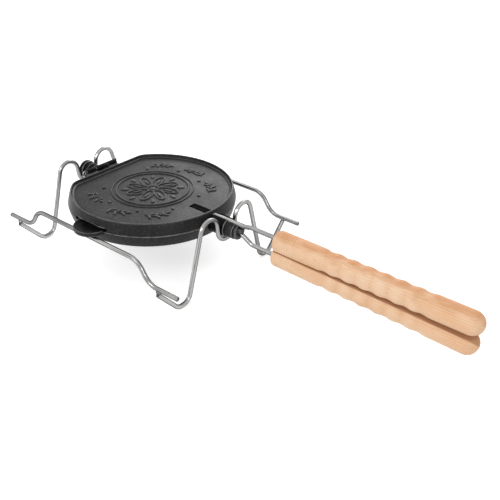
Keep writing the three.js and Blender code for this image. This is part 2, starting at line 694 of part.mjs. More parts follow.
// The origin goes to the middle of the footprint, on the ground
const flatShare = Math.cos(Math.PI / WIRE_SIDES);
const endX = UPPER_GRIP_X + GRIP_L * Math.cos(UPPER_TILT) + GRIP_AXIS * Math.sin(UPPER_TILT);
const legReachY = CRADLE_END_Y + (WIRE_D / 2) * flatShare * Math.sin(LEG_SLOPE);
const spoutTipY = SPOUT_Y + SPOUT_R;
part.position.set(
  (RAIL_HALF_L - endX) / 2,
  (spoutTipY - legReachY) / 2,
  FOOT_DEPTH + (WIRE_D / 2) * flatShare,
);

export default part;
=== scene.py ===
"""Dresses a campfire waffle iron: finer shapes, finishes, floor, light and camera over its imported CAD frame.

Sizes are in millimetres in the plates' frame, as in the part's source: X runs from the hinge to the grips,
Y across, and z = 0 is the plane where the two plates meet. at() turns them into metres in the row's frame.
"""

import logging
import math
from collections.abc import Iterable, Sequence
from dataclasses import dataclass, field
from enum import Enum

import bmesh
import bpy
from mathutils import Matrix, Vector

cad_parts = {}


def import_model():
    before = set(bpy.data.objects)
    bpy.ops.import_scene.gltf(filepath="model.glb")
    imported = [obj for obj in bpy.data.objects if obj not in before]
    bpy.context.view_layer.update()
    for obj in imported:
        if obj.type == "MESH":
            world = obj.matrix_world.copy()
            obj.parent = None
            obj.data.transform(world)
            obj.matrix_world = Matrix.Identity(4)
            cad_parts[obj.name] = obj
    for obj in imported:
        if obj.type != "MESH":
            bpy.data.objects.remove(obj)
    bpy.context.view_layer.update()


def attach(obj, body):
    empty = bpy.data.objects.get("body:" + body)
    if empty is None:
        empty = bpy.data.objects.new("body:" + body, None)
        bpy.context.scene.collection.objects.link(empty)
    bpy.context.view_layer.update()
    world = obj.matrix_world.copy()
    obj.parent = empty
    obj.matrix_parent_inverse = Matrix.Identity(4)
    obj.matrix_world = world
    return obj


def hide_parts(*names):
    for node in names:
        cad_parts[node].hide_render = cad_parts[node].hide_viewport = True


LOG = logging.getLogger("waffle_iron")

MM = 0.001
PLATE_CENTRE = Vector((-0.1374923, 0.0027215, 0.0698114))
WELD_DISTANCE = 1e-7  # metres under which two corners are one
SHARP_DEG = 38.0  # the angle over which an edge stays sharp
ROUND_WEAR = 0.7  # how much a bar's rounded end is rubbed, at most
WHITE = (1.0, 1.0, 1.0, 1.0)

Row = list[Vector]
Spot = tuple[float, float]
Profile = list[tuple[float, float, float]]
Colour = tuple[float, float, float, float]
Socket = bpy.types.NodeSocket


class Body(Enum):
    """The CAD bodies that pieces ride on."""

    STAND = "stand"
    LOWER = "lower_half"
    UPPER = "upper_half"


class Slot(Enum):
    """The material slots."""

    CAST = "cast_plates"
    STEEL = "wire_and_rods"
    WOOD = "grips"


class Side(Enum):
    """Which way up a mirrored casting or grip lies."""

    UPPER = 1
    LOWER = -1


class Axis(Enum):
    """The axis that a turned shape is turned about."""

    X = 0
    Y = 1
    Z = 2


def at(x: float, y: float, z: float) -> Vector:
    """Turn millimetres in the plates' frame into metres in the row's frame.

    Args:
        x: Place along the handles.
        y: Place across.
        z: Height over the plates' parting plane.

    Returns:
        The place in metres in the row's frame.
    """
    return Vector((x * MM, y * MM, z * MM)) + PLATE_CENTRE


def angles(count: int) -> list[float]:
    """Give the angles of evenly spaced places round a circle, in radians."""
    return [2 * math.pi * k / count for k in range(count)]


def rounded_oblong(centre: Spot, half: Spot, corner: float, steps: int) -> list[Spot]:
    """Give an oblong's outline with rounded corners.

    Args:
        centre: Its middle.
        half: Half its length and half its width.
        corner: Its corners' radius.
        steps: How many steps each corner has.

    Returns:
        The outline's places.
    """
    out = []
    for sx, sy, start in ((1, 1, 0), (-1, 1, 90), (-1, -1, 180), (1, -1, 270)):
        for k in range(steps + 1):
            angle = math.radians(start + 90 * k / steps)
            out.append((
                centre[0] + sx * (half[0] - corner) + corner * math.cos(angle),
                centre[1] + sy * (half[1] - corner) + corner * math.sin(angle),
            ))
    return out


def egg_rows(centre: Vector, half: tuple[float, float, float], steps: int, sides: int) -> list[Row]:
    """Lay rings round an egg shape that lies along X.

    Args:
        centre: Its middle, in millimetres.
        half: Half its length, width and height.
        steps: How many steps there are from end to end; the ends themselves have no ring.
        sides: How many corners a ring has.

    Returns:
        The rings.
    """
    rows = []
    for k in range(1, steps):
        angle = math.pi * k / steps
        x = centre.x - half[0] * math.cos(angle)
        wide, high = half[1] * math.sin(angle), half[2] * math.sin(angle)
        rows.append([at(x, centre.y + wide * math.cos(a), centre.z + high * math.sin(a)) for a in angles(sides)])
    return rows


# ---- mesh building ----


@dataclass
class MeshData:
    """Corners, faces, texture places and wear values of a piece, gathered before its mesh is made."""

    points: list[Vector] = field(default_factory=list)
    faces: list[tuple[int, ...]] = field(default_factory=list)
    uvs: list[tuple[Spot, ...]] = field(default_factory=list)
    wear: list[float] = field(default_factory=list)

    def extend(self, other: "MeshData") -> "MeshData":
        """Add another shape's corners and faces to this one.

        Args:
            other: The shape to add.

        Returns:
            This shape.
        """
        start = len(self.points)
        self.points += other.points
        self.wear += other.wear
        self.faces += [tuple(i + start for i in face) for face in other.faces]
        self.uvs += other.uvs
        return self


def loft(rows: Sequence[Row], wears: Sequence[float] | None = None, capped: bool = True) -> MeshData:
    """Skin closed rings of equal count, one after another.

    Args:
        rows: The rings, each a list of places.
        wears: A wear value for each ring, or None for none.
        capped: Whether the first and last rings are closed with a face.

    Returns:
        The skinned shape, with texture places in metres round and along it.
    """
    data = MeshData()
    count = len(rows[0])
    wears = wears or [0.0] * len(rows)
    centres = [sum(row, Vector()) / count for row in rows]
    along = [0.0]
    for before, after, ca, cb in zip(rows, rows[1:], centres, centres[1:]):
        along.append(along[-1] + max((cb - ca).length, (after[0] - before[0]).length))
    widest = max(rows, key=lambda row: (row[0] - row[1]).length)
    step = (widest[0] - widest[1]).length
    for row, wear in zip(rows, wears):
        data.points += row
        data.wear += [wear] * count
    for r in range(len(rows) - 1):
        for k in range(count):
            a, b = r * count + k, r * count + (k + 1) % count
            data.faces.append((a, b, b + count, a + count))
            u, v, w, x = k * step, (k + 1) * step, along[r], along[r + 1]
            data.uvs.append(((u, w), (v, w), (v, x), (u, x)))
    if capped:
        for first, flip in ((0, True), ((len(rows) - 1) * count, False)):
            ring = list(range(first, first + count))
            ring = ring[::-1] if flip else ring
            data.faces.append(tuple(ring))
            data.uvs.append(tuple((data.points[i].y, data.points[i].x) for i in ring))
    return data


def turned(profile: Profile, axis: Axis, centre: Vector, count: int = 64) -> MeshData:
    """Turn a profile about an axis through a centre.

    Args:
        profile: (place along the axis, radius, wear) from one end to the other, in millimetres.
        axis: The axis.
        centre: A point on the axis, in millimetres; its own place along the axis isn't used.
        count: How many sides the turned shape has.

    Returns:
        The turned shape, in the row's frame.
    """
    rows = []
    for along, radius, _ in profile:
        row = []
        for angle in angles(count):
            c, s = radius * math.cos(angle), radius * math.sin(angle)
            place = {
                Axis.X: (along, centre.y + c, centre.z + s),
                Axis.Y: (centre.x + s, along, centre.z + c),
                Axis.Z: (centre.x + c, centre.y + s, along),
            }[axis]
            row.append(at(*place))
        rows.append(row)
    return loft(rows, [wear for *_, wear in profile])


def rounded_bar(start: float, end: float, radius: float, edge: float, steps: int = 3) -> Profile:
    """Lay out a bar's turning profile with rounded ends.

    Args:
        start: One end along the axis.
        end: The other end along the axis.
        radius: The bar's radius.
        edge: The radius of its end rounding.
        steps: How many steps each rounding has.

    Returns:
        The profile for turned(), with wear on the roundings.
    """
    profile = []
    for place, inward in ((start, 1), (end, -1)):
        rounding = []
        for k in range(steps + 1):
            a = k * math.pi / 2 / steps
            along = place + inward * edge * (1 - math.sin(a))
            rounding.append((along, radius - edge * (1 - math.cos(a)), ROUND_WEAR * math.sin(2 * a)))
        profile += rounding[::-inward]
    return profile


def block(low: Sequence[float], high: Sequence[float], edge: float = 0.0) -> MeshData:
    """Make a box between two corners, with bevelled edges.

    Args:
        low: Its lowest corner, in millimetres.
        high: Its highest corner, in millimetres.
        edge: The width of its bevels, or 0 for none.

    Returns:
        The box, in the row's frame.
    """
    bm = bmesh.new()
    bmesh.ops.create_cube(bm, size=1.0)
    middle = [(a + b) / 2 for a, b in zip(low, high)]
    size = [b - a for a, b in zip(low, high)]
    for v in bm.verts:
        v.co = at(*[m + s * c for m, s, c in zip(middle, size, v.co)])
    if edge:
        bmesh.ops.bevel(bm, geom=list(bm.edges), offset=edge * MM, segments=3, profile=0.5, affect="EDGES")
    bm.verts.index_update()
    data = MeshData([v.co.copy() for v in bm.verts], [tuple(v.index for v in f.verts) for f in bm.faces])
    data.uvs = [tuple((data.points[i].x, data.points[i].y + data.points[i].z) for i in f) for f in data.faces]
    data.wear = [0.35 if edge else 0.0] * len(data.points)
    bm.free()
    return data


def make_object(
    name: str, data: MeshData, material: bpy.types.Material | None = None, sharp_deg: float = SHARP_DEG
) -> bpy.types.Object:
    """Make a smooth-shaded object with sharp creases from gathered mesh data.

    Args:
        name: The piece's name.
        data: The shape.
        material: Its finish, or None for a cutter.
        sharp_deg: The angle over which an edge stays sharp.

    Returns:
        The object, linked to the scene.
    """
    mesh = bpy.data.meshes.new(name)
    mesh.from_pydata([tuple(p) for p in data.points], [], data.faces)
    layer = mesh.uv_layers.new(name="UVMap")
    flat = [uv for face in data.uvs for corner in face for uv in corner]
    layer.data.foreach_set("uv", flat)
    wear = mesh.attributes.new("wear", "FLOAT", "POINT")
    wear.data.foreach_set("value", data.wear)
    bm = bmesh.new()
    bm.from_mesh(mesh)
    bmesh.ops.remove_doubles(bm, verts=list(bm.verts), dist=WELD_DISTANCE)
    bmesh.ops.recalc_face_normals(bm, faces=list(bm.faces))
    bm.to_mesh(mesh)
    bm.free()
    mesh.shade_smooth()
    mesh.set_sharp_from_angle(angle=math.radians(sharp_deg))
    obj = bpy.data.objects.new(name, mesh)
    bpy.context.scene.collection.objects.link(obj)
    if material:
        mesh.materials.append(material)
    return obj


def cut(obj: bpy.types.Object, cutters: Iterable[MeshData], sharp_deg: float = SHARP_DEG) -> bpy.types.Object:
    """Cut shapes out of an object and keep the result as its own mesh.

    Args:
        obj: The object to cut.
        cutters: The shapes to take away.
        sharp_deg: The angle over which an edge stays sharp.

    Returns:
        The same object.
    """
    for data in cutters:
        tool = make_object("cutter", data)
        modifier = obj.modifiers.new("cut", "BOOLEAN")
        modifier.operation = "DIFFERENCE"
        modifier.solver = "EXACT"
        modifier.object = tool
        depsgraph = bpy.context.evaluated_depsgraph_get()
        mesh = bpy.data.meshes.new_from_object(obj.evaluated_get(depsgraph))
        obj.modifiers.clear()
        old, obj.data = obj.data, mesh
        mesh.name = obj.name
        bpy.data.meshes.remove(old)
        tool_mesh = tool.data
        bpy.data.objects.remove(tool)
        bpy.data.meshes.remove(tool_mesh)
    obj.data.shade_smooth()
    obj.data.set_sharp_from_angle(angle=math.radians(sharp_deg))
    return obj


def fit(obj: bpy.types.Object, body: Body, slot: Slot, *nodes: str) -> bpy.types.Object:
    """Let a finished piece ride on its body and hide the CAD nodes that it stands for.

    Args:
        obj: The piece.
        body: The body that it moves with.
        slot: Its material slot; not used.
        nodes: The CAD nodes that it replaces.

    Returns:
        The same object.
    """
    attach(obj, body.value)
    if nodes:
        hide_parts(*nodes)
    LOG.info("made %s with %d faces, on %s", obj.name, len(obj.data.polygons), body.value)
    return obj


def dress(
    name: str,
    data: MeshData,
    finish: bpy.types.Material,
    place: tuple[Body, Slot],
    *nodes: str,
    cutters: Iterable[MeshData] = (),
    sharp_deg: float = SHARP_DEG,
) -> None:
    """Make a piece, cut it and fit it.

    Args:
        name: The piece's name.
        data: Its shape before it is cut.
        finish: Its finish.
        place: The body that it moves with and its material slot.
        nodes: The CAD nodes that it replaces.
        cutters: The shapes to take away.
        sharp_deg: The angle over which an edge stays sharp.
    """
    fit(cut(make_object(name, data, finish, sharp_deg), cutters, sharp_deg), *place, *nodes)


# ---- bent wire ----


@dataclass
class BentWire:
    """A round wire along straight runs with rounded bends, all in one plane."""

    corners: list[Vector]
    radii: list[float]
    normal: Vector
    diameter: float
    sides: int = 24
    bend_step_deg: float = 5.0
    run_step: float = 6.0
    chamfer: float = 0.45

    def stations(self) -> list[tuple[Vector, Vector]]:
        """Lay out the wire's centre line.

        Returns:
            Its places, in millimetres, and its directions there.
        """
        out: list[tuple[Vector, Vector]] = []
        here = self.corners[0]
        for i, radius in enumerate(self.radii, start=1):
            into = (self.corners[i] - self.corners[i - 1]).normalized()
            away = (self.corners[i + 1] - self.corners[i]).normalized()
            turn = into.angle(away)
            axis = into.cross(away).normalized()
            start = self.corners[i] - into * (radius * math.tan(turn / 2))
            out += self._run(here, start, into)
            centre = start + axis.cross(into) * radius
            steps = max(2, math.ceil(math.degrees(turn) / self.bend_step_deg))
            for k in range(steps + 1):
                spin = Matrix.Rotation(turn * k / steps, 3, axis)
                out.append((centre + spin @ (start - centre), spin @ into))
            here = out[-1][0]
        last = (self.corners[-1] - self.corners[-2]).normalized()
        out += self._run(here, self.corners[-1], last)
        out.append((self.corners[-1], last))
        return out

    def _run(self, start: Vector, end: Vector, way: Vector) -> list[tuple[Vector, Vector]]:
        """Lay out a straight run, without its last place.

        Args:
            start: Where it starts.
            end: Where it ends.
            way: Its direction.

        Returns:
            Its places and directions.
        """
        steps = max(1, round((end - start).length / self.run_step))
        first = 0 if start == self.corners[0] else 1
        return [(start.lerp(end, k / steps), way) for k in range(first, steps)]

    def build(self) -> MeshData:
        """Skin the wire, with chamfered cut ends.

        Returns:
            The wire's shape in the row's frame.
        """
        stations = self.stations()
        radius = self.diameter / 2
        (first, way_in), (last, way_out) = stations[0], stations[-1]
        narrow, chamfer = radius - self.chamfer, self.chamfer
        rings = [(first, way_in, narrow, 1.0), (first + way_in * chamfer, way_in, radius, 0.3)]
        rings += [(place, way, radius, 0.0) for place, way in stations[1:-1]]
        rings += [(last - way_out * chamfer, way_out, radius, 0.3), (last, way_out, narrow, 1.0)]
        rows = [self._ring(place, way, size) for place, way, size, _ in rings]
        return loft(rows, [wear for *_, wear in rings])

    def _ring(self, place: Vector, way: Vector, radius: float) -> Row:
        """Give one ring of the wire's skin.

        Args:
            place: Its middle, in millimetres.
            way: The wire's direction there.
            radius: Its radius.

        Returns:
            Its corners, in the row's frame.
        """
        side = self.normal.cross(way).normalized()
        ring = []
        for angle in angles(self.sides):
            spot = place + (self.normal * math.cos(angle) + side * math.sin(angle)) * radius
            ring.append(at(*spot))
        return ring


# ---- shader building ----


class Graph:
    """A short way to add and join nodes in one node tree."""

    def __init__(self, tree: bpy.types.NodeTree) -> None:
        """Start on a tree.

        Args:
            tree: The node tree of a material, group or world.
        """
        self.tree = tree

    def add(self, kind: str, settings: dict[str, object] | None = None, **inputs: object) -> bpy.types.Node:
        """Add a node.

        Args:
            kind: The node's type name.
            settings: Values for the node's own settings.
            inputs: Values or sockets for its inputs, by name with _ for a space, or in_0, in_1 by place.

        Returns:
            The node.
        """
        node = self.tree.nodes.new(kind)
        for key, value in (settings or {}).items():
            setattr(node, key, value)
        for key, value in inputs.items():
            self.feed(node.inputs[int(key[3:]) if key.startswith("in_") else key.replace("_", " ")], value)
        return node

    def feed(self, socket: Socket, value: object) -> None:
        """Join a socket to an input, or set the input's value.

        Args:
            socket: The input.
            value: A socket to join to it, or its value.
        """
        if isinstance(value, Socket):
            self.tree.links.new(value, socket)
        else:
            socket.default_value = value

    def math(self, operation: str, a: object, b: object = 0.0) -> Socket:
        """Add a math node and give its result."""
        return self.add("ShaderNodeMath", {"operation": operation}, in_0=a, in_1=b).outputs[0]

    def times(self, a: object, b: object) -> Socket:
        """Multiply two values and give the result."""
        return self.math("MULTIPLY", a, b)

    def plus(self, a: object, b: object) -> Socket:
        """Add two values and give the result."""
        return self.math("ADD", a, b)

    def ramp(self, value: Socket, low: float, high: float, to_low: float = 0.0, to_high: float = 1.0) -> Socket:
        """Map a value smoothly from one range to another.

        Args:
            value: The value.
            low: Where its range starts.
            high: Where its range ends.
            to_low: What the start becomes.
            to_high: What the end becomes.

        Returns:
            The mapped value.
        """
        node = self.add("ShaderNodeMapRange", {"interpolation_type": "SMOOTHSTEP"}, Value=value)
        for key, number in (("From Min", low), ("From Max", high), ("To Min", to_low), ("To Max", to_high)):
            node.inputs[key].default_value = number
        return node.outputs["Result"]

    def mix(self, factor: object, a: object, b: object) -> Socket:
        """Mix two colours and give the result."""
        return self.add("ShaderNodeMix", {"data_type": "RGBA"}, in_0=factor, in_6=a, in_7=b).outputs[2]

    def noise(self, vector: object, scale: float, detail: float = 3.0, roughness: float = 0.55) -> Socket:
        """Add a noise texture and give its value."""
        inputs = {"Vector": vector, "Scale": scale, "Detail": detail, "Roughness": roughness}
        return self.add("ShaderNodeTexNoise", None, **inputs).outputs["Fac"]

    def bump(self, height: Socket, strength: float, depth: float) -> Socket:
        """Add a bump of some depth in metres and give its normal."""
        inputs = {"Height": height, "Strength": strength, "Distance": depth}
        return self.add("ShaderNodeBump", None, **inputs).outputs["Normal"]

    def wear(self) -> Socket:
        """Give the mesh's own wear value."""
        return self.add("ShaderNodeAttribute", {"attribute_name": "wear"}).outputs["Fac"]

    def showing(self) -> Socket:
        """Tell the rays that show the background: those from the camera, off gloss and through glass.

        Returns:
            1 for these rays, 0 for the others.
        """
        path = self.add("ShaderNodeLightPath").outputs
        seen = self.math("MAXIMUM", path["Is Camera Ray"], path["Is Glossy Ray"])
        return self.math("MAXIMUM", seen, path["Is Transmission Ray"])

    def stretched(self, vector: Socket, scale: tuple[float, float, float]) -> Socket:
        """Scale a texture place by axis and give the result."""
        return self.add("ShaderNodeMapping", None, Vector=vector, Scale=scale).outputs["Vector"]

    def scaled(self, vector: Socket, scale: object) -> Socket:
        """Scale a texture place evenly and give the result."""
        return self.add("ShaderNodeVectorMath", {"operation": "SCALE"}, Vector=vector, Scale=scale).outputs[0]


def new_group(
    name: str, inputs: dict[str, str], outputs: dict[str, str]
) -> tuple[bpy.types.NodeTree, Graph, bpy.types.Node, bpy.types.Node]:
    """Make an empty shader node group with named sockets.

    Args:
        name: The group's name.
        inputs: Socket names and kinds going in.
        outputs: Socket names and kinds coming out.

    Returns:
        The group, its graph, its input node and its output node.
    """
    group = bpy.data.node_groups.new(name, "ShaderNodeTree")
    for key, kind in inputs.items():
        group.interface.new_socket(key, in_out="INPUT", socket_type=kind)
    for key, kind in outputs.items():
        group.interface.new_socket(key, in_out="OUTPUT", socket_type=kind)
    graph = Graph(group)
    return group, graph, graph.add("NodeGroupInput"), graph.add("NodeGroupOutput")


def cast_grain_group() -> bpy.types.NodeTree:
    """Make the group for a cast surface: fine sand grain, small pits and soft mottling.

    Returns:
        The group. In: Place and Fineness (grains per metre). Out: Height, Mottle and Specks (the grains' tops).
    """
    group, g, gin, gout = new_group(
        "cast_grain",
        {"Place": "NodeSocketVector", "Fineness": "NodeSocketFloat"},
        {"Height": "NodeSocketFloat", "Mottle": "NodeSocketFloat", "Specks": "NodeSocketFloat"},
    )
    place = g.scaled(gin.outputs["Place"], gin.outputs["Fineness"])
    grain = g.noise(place, 1.0, 1.5, 0.5)
    pits = g.add("ShaderNodeTexVoronoi", {"feature": "F1"}, Vector=place, Scale=0.6).outputs["Distance"]
    pits = g.ramp(pits, 0.05, 0.35, -0.3, 0.0)
    g.feed(gout.inputs["Height"], g.plus(grain, pits))
    g.feed(gout.inputs["Mottle"], g.noise(place, 0.055, 3.0, 0.6))
    g.feed(gout.inputs["Specks"], g.ramp(grain, 0.52, 0.72))
    return group


def worn_edge_group() -> bpy.types.NodeTree:
    """Make the group for worn edges: the mesh's wear value, broken up by noise.

    Returns:
        The group, with Place in; Mask out.
    """
    group, g, gin, gout = new_group("worn_edge", {"Place": "NodeSocketVector"}, {"Mask": "NodeSocketFloat"})
    patchy = g.ramp(g.noise(gin.outputs["Place"], 160.0), 0.25, 0.6, 0.45, 1.0)
    g.feed(gout.inputs["Mask"], g.times(g.wear(), patchy))
    return group


def streaks_and_reflection_group() -> bpy.types.NodeTree:
    """Make the group for the wire's streaks: fine lengthwise die lines that also stand in as painted reflection bands,
    and small handling marks.

    Returns:
        The group. In: Along (a texture place whose v runs along the wire) and Place. Out: Streak and Marks.
    """
    group, g, gin, gout = new_group(
        "streaks_and_reflection",
        {"Along": "NodeSocketVector", "Place": "NodeSocketVector"},
        {"Streak": "NodeSocketFloat", "Marks": "NodeSocketFloat"},
    )
    g.feed(gout.inputs["Streak"], g.noise(g.stretched(gin.outputs["Along"], (430.0, 7.0, 1.0)), 1.0, 3.0, 0.6))
    g.feed(gout.inputs["Marks"], g.noise(gin.outputs["Place"], 120.0, 4.0, 0.65))
    return group


@dataclass
class Groups:
    """The shader groups that more than one finish uses."""

    cast_grain: bpy.types.NodeTree = field(default_factory=cast_grain_group)
    worn_edge: bpy.types.NodeTree = field(default_factory=worn_edge_group)
    streaks_and_reflection: bpy.types.NodeTree = field(default_factory=streaks_and_reflection_group)


def bare_graph(owner: bpy.types.Material | bpy.types.World) -> Graph:
    """Clear the nodes of a new material or world.

    Args:
        owner: The material or world.

    Returns:
        The graph of its node tree.
    """
    owner.use_nodes = True
    owner.node_tree.nodes.clear()
    return Graph(owner.node_tree)


def start_material(name: str) -> tuple[bpy.types.Material, Graph, bpy.types.Node]:
    """Make a material with one principled shader.

    Args:
        name: The material's name.

    Returns:
        The material, its graph and its principled shader.
    """
    material = bpy.data.materials.new(name)
    g = bare_graph(material)
    shader = g.add("ShaderNodeBsdfPrincipled")
    g.add("ShaderNodeOutputMaterial", None, Surface=shader.outputs["BSDF"])
    return material, g, shader


@dataclass(frozen=True)
class CastIronFinish:
    """Seasoned cast iron: black, satin, with a fine sand grain and rubbed edges."""

    name: str = "cast_iron"
    dark: Colour = (0.0022, 0.0022, 0.0024, 1.0)
    light: Colour = (0.0075, 0.0075, 0.0081, 1.0)
    glint_speck: Colour = (0.026, 0.026, 0.027, 1.0)
    rubbed: Colour = (0.26, 0.26, 0.265, 1.0)
    roughness: float = 0.41
    ior: float = 1.33
    gloss: float = 0.45
    rubbed_metal: float = 0.9
    grain_per_m: float = 560.0
    grain_strength: float = 0.8
    grain_depth: float = 0.00040

    def make(self, groups: Groups) -> bpy.types.Material:
        """Build the material from its groups.

        Args:
            groups: The shared shader groups.

        Returns:
            The material.
        """
        material, g, shader = start_material(self.name)
        place = g.add("ShaderNodeTexCoord").outputs["Object"]
        grain = g.add("ShaderNodeGroup", {"node_tree": groups.cast_grain}, Place=place, Fineness=self.grain_per_m)
        edge = g.add("ShaderNodeGroup", {"node_tree": groups.worn_edge}, Place=place).outputs["Mask"]
        mottle = grain.outputs["Mottle"]
        body = g.mix(g.ramp(mottle, 0.3, 0.7), self.dark, self.light)
        # lighter specks on the grain's tops: partly the cast grain's own tone, partly painted glints
        body = g.mix(grain.outputs["Specks"], body, self.glint_speck)
        g.feed(shader.inputs["Base Color"], g.mix(edge, body, self.rubbed))
        rough = g.ramp(mottle, 0.3, 0.7, self.roughness + 0.05, self.roughness - 0.05)
        g.feed(shader.inputs["Roughness"], rough)
        g.feed(shader.inputs["Metallic"], g.times(edge, self.rubbed_metal))
        normal = g.bump(grain.outputs["Height"], self.grain_strength, self.grain_depth)
        g.feed(shader.inputs["Normal"], normal)
        g.feed(shader.inputs["IOR"], self.ior)
        g.feed(shader.inputs["Specular IOR Level"], self.gloss)
        return material


@dataclass(frozen=True)
class SteelFinish:
    """Drawn steel wire: bright, with fine streaks along it that are partly die lines and partly painted reflection
    bands.
    """

    name: str = "drawn_steel"
    bright: Colour = (0.50, 0.50, 0.495, 1.0)
    dull: Colour = (0.12, 0.12, 0.12, 1.0)
    end: Colour = (0.10, 0.10, 0.105, 1.0)
    grazing: Colour = (0.02, 0.02, 0.02, 1.0)
    roughness: float = 0.25
    metallic: float = 1.0
    streak_share: float = 0.85
    streak_strength: float = 0.25
    streak_depth: float = 0.00004

    def make(self, groups: Groups) -> bpy.types.Material:
        """Build the material from its groups.

        Args:
            groups: The shared shader groups.

        Returns:
            The material.
        """
        material, g, shader = start_material(self.name)
        coords = g.add("ShaderNodeTexCoord").outputs
        place = coords["Object"]
        streak_bands = g.add("ShaderNodeGroup", {"node_tree": groups.streaks_and_reflection}, Along=coords["UV"], Place=place)
        edge = g.add("ShaderNodeGroup", {"node_tree": groups.worn_edge}, Place=place).outputs["Mask"]
        # the lengthwise light and dark bands: partly die lines, partly painted reflection copying the wire's bright
        # and dark streaks
        streak = g.ramp(streak_bands.outputs["Streak"], 0.36, 0.62)
        marks = g.ramp(streak_bands.outputs["Marks"], 0.52, 0.72, 0.0, 0.5)
        body = g.mix(g.math("MAXIMUM", g.times(streak, self.streak_share), marks), self.bright, self.dull)
        g.feed(shader.inputs["Base Color"], g.mix(edge, body, self.end))
        rough = g.plus(g.times(streak, 0.10), g.times(marks, 0.12))
        g.feed(shader.inputs["Roughness"], g.plus(rough, self.roughness - 0.05))
        normal = g.bump(streak_bands.outputs["Streak"], self.streak_strength, self.streak_depth)
        g.feed(shader.inputs["Normal"], normal)
        g.feed(shader.inputs["Metallic"], self.metallic)
        g.feed(shader.inputs["Specular Tint"], self.grazing)
        return material


@dataclass(frozen=True)
class BeechFinish:
    """Turned beech: pale and warm, with long fine grain and short dark flecks, and a darker stripe along the grip's
    far upper side that is painted shade.
    """

    name: str = "turned_beech"
    pale: Colour = (0.87, 0.62, 0.425, 1.0)
    warm: Colour = (0.72, 0.35, 0.14, 1.0)
    line: Colour = (0.66, 0.33, 0.16, 1.0)
    # ring: the turned rings' burnish, and the painted highlight on the waves' crests
    ring: Colour = (0.94, 0.74, 0.56, 1.0)
    # sawn: the brown of the painted shade on the flat faces between the grips and in the waves' hollows
    sawn: Colour = (0.52, 0.27, 0.14, 1.0)
    fleck: Colour = (0.34, 0.15, 0.07, 1.0)
    # the colour of the painted shade along the grip's far upper side
    far_side_shade_colour: Colour = (0.54, 0.205, 0.06, 1.0)
    girth: float = 0.0763
    shade_turn: float = 0.9
    roughness: float = 0.42
    gloss: float = 0.12
    warm_shares: Spot = (0.22, 0.30)  # of the figure and of the patches
    line_share: float = 0.24
    fleck_share: float = 0.6
    burnish_and_highlight_share: float = 0.30
    shade_share: float = 0.62
    pore_strength: float = 0.22
    pore_depth: float = 0.00008

    def make(self) -> bpy.types.Material:
        """Build the material.

        Returns:
            The material.
        """
        material, g, shader = start_material(self.name)
        coords = g.add("ShaderNodeTexCoord").outputs
        place = coords["Object"]
        rings = g.add("ShaderNodeTexWave", {"wave_type": "BANDS", "bands_direction": "Z", "wave_profile": "SIN"})
        g.feed(rings.inputs["Vector"], g.stretched(place, (10.0, 95.0, 260.0)))
        for key, number in (("Scale", 0.55), ("Distortion", 5.0), ("Detail", 2.0), ("Detail Scale", 0.8)):
            g.feed(rings.inputs[key], number)
        figure = g.ramp(rings.outputs["Fac"], 0.15, 0.95)
        fibre = g.ramp(g.noise(g.stretched(place, (70.0, 2600.0, 2600.0)), 1.0, 4.0, 0.65), 0.35, 0.68)
        flecks = g.ramp(g.noise(g.stretched(place, (260.0, 1900.0, 1500.0)), 1.0, 2.0, 0.5), 0.66, 0.74)
        patch = g.ramp(g.noise(g.stretched(place, (22.0, 60.0, 60.0)), 1.0), 0.32, 0.68)
        round_place = g.add("ShaderNodeSeparateXYZ", None, Vector=coords["UV"]).outputs["X"]
        turn = g.math("SUBTRACT", g.times(round_place, 2 * math.pi / self.girth), self.shade_turn)
        wear = g.wear()
        uneven = g.plus(g.times(patch, 0.7), g.times(wear, 0.35))
        # a darker stripe at one turn round the section: painted shade on the grip's far upper side
        far_side_shade = g.ramp(g.plus(g.math("COSINE", turn), uneven), 0.0, 1.35)
        # lighter where the mesh's value is above 0: burnish on the turned rings, painted highlight on the waves'
        # crests
        burnish_and_highlight = g.times(g.math("MAXIMUM", wear, 0.0), g.math("SUBTRACT", 1.0, far_side_shade))
        by_figure, by_patch = self.warm_shares
        base = g.mix(g.plus(g.times(figure, by_figure), g.times(patch, by_patch)), self.pale, self.warm)
        for share, colour in (
            (g.times(fibre, self.line_share), self.line),
            (g.times(flecks, self.fleck_share), self.fleck),
            (g.times(burnish_and_highlight, self.burnish_and_highlight_share), self.ring),
            (g.times(far_side_shade, self.shade_share), self.far_side_shade_colour),
            # the sawn brown: painted shade on the flat faces and in the waves' hollows
            (g.math("MAXIMUM", g.times(wear, -1.0), 0.0), self.sawn),
        ):
            base = g.mix(share, base, colour)
        bend = g.noise(g.stretched(place, (8.0, 60.0, 60.0)), 1.0, 2.0)
        pores = g.plus(g.times(fibre, 0.5), g.times(bend, 0.2))
        g.feed(shader.inputs["Base Color"], base)
        g.feed(shader.inputs["Roughness"], g.ramp(fibre, 0.0, 1.0, self.roughness - 0.05, self.roughness + 0.10))
        g.feed(shader.inputs["Normal"], g.bump(pores, self.pore_strength, self.pore_depth))
        g.feed(shader.inputs["Specular IOR Level"], self.gloss)
        return material


# ---- castings ----


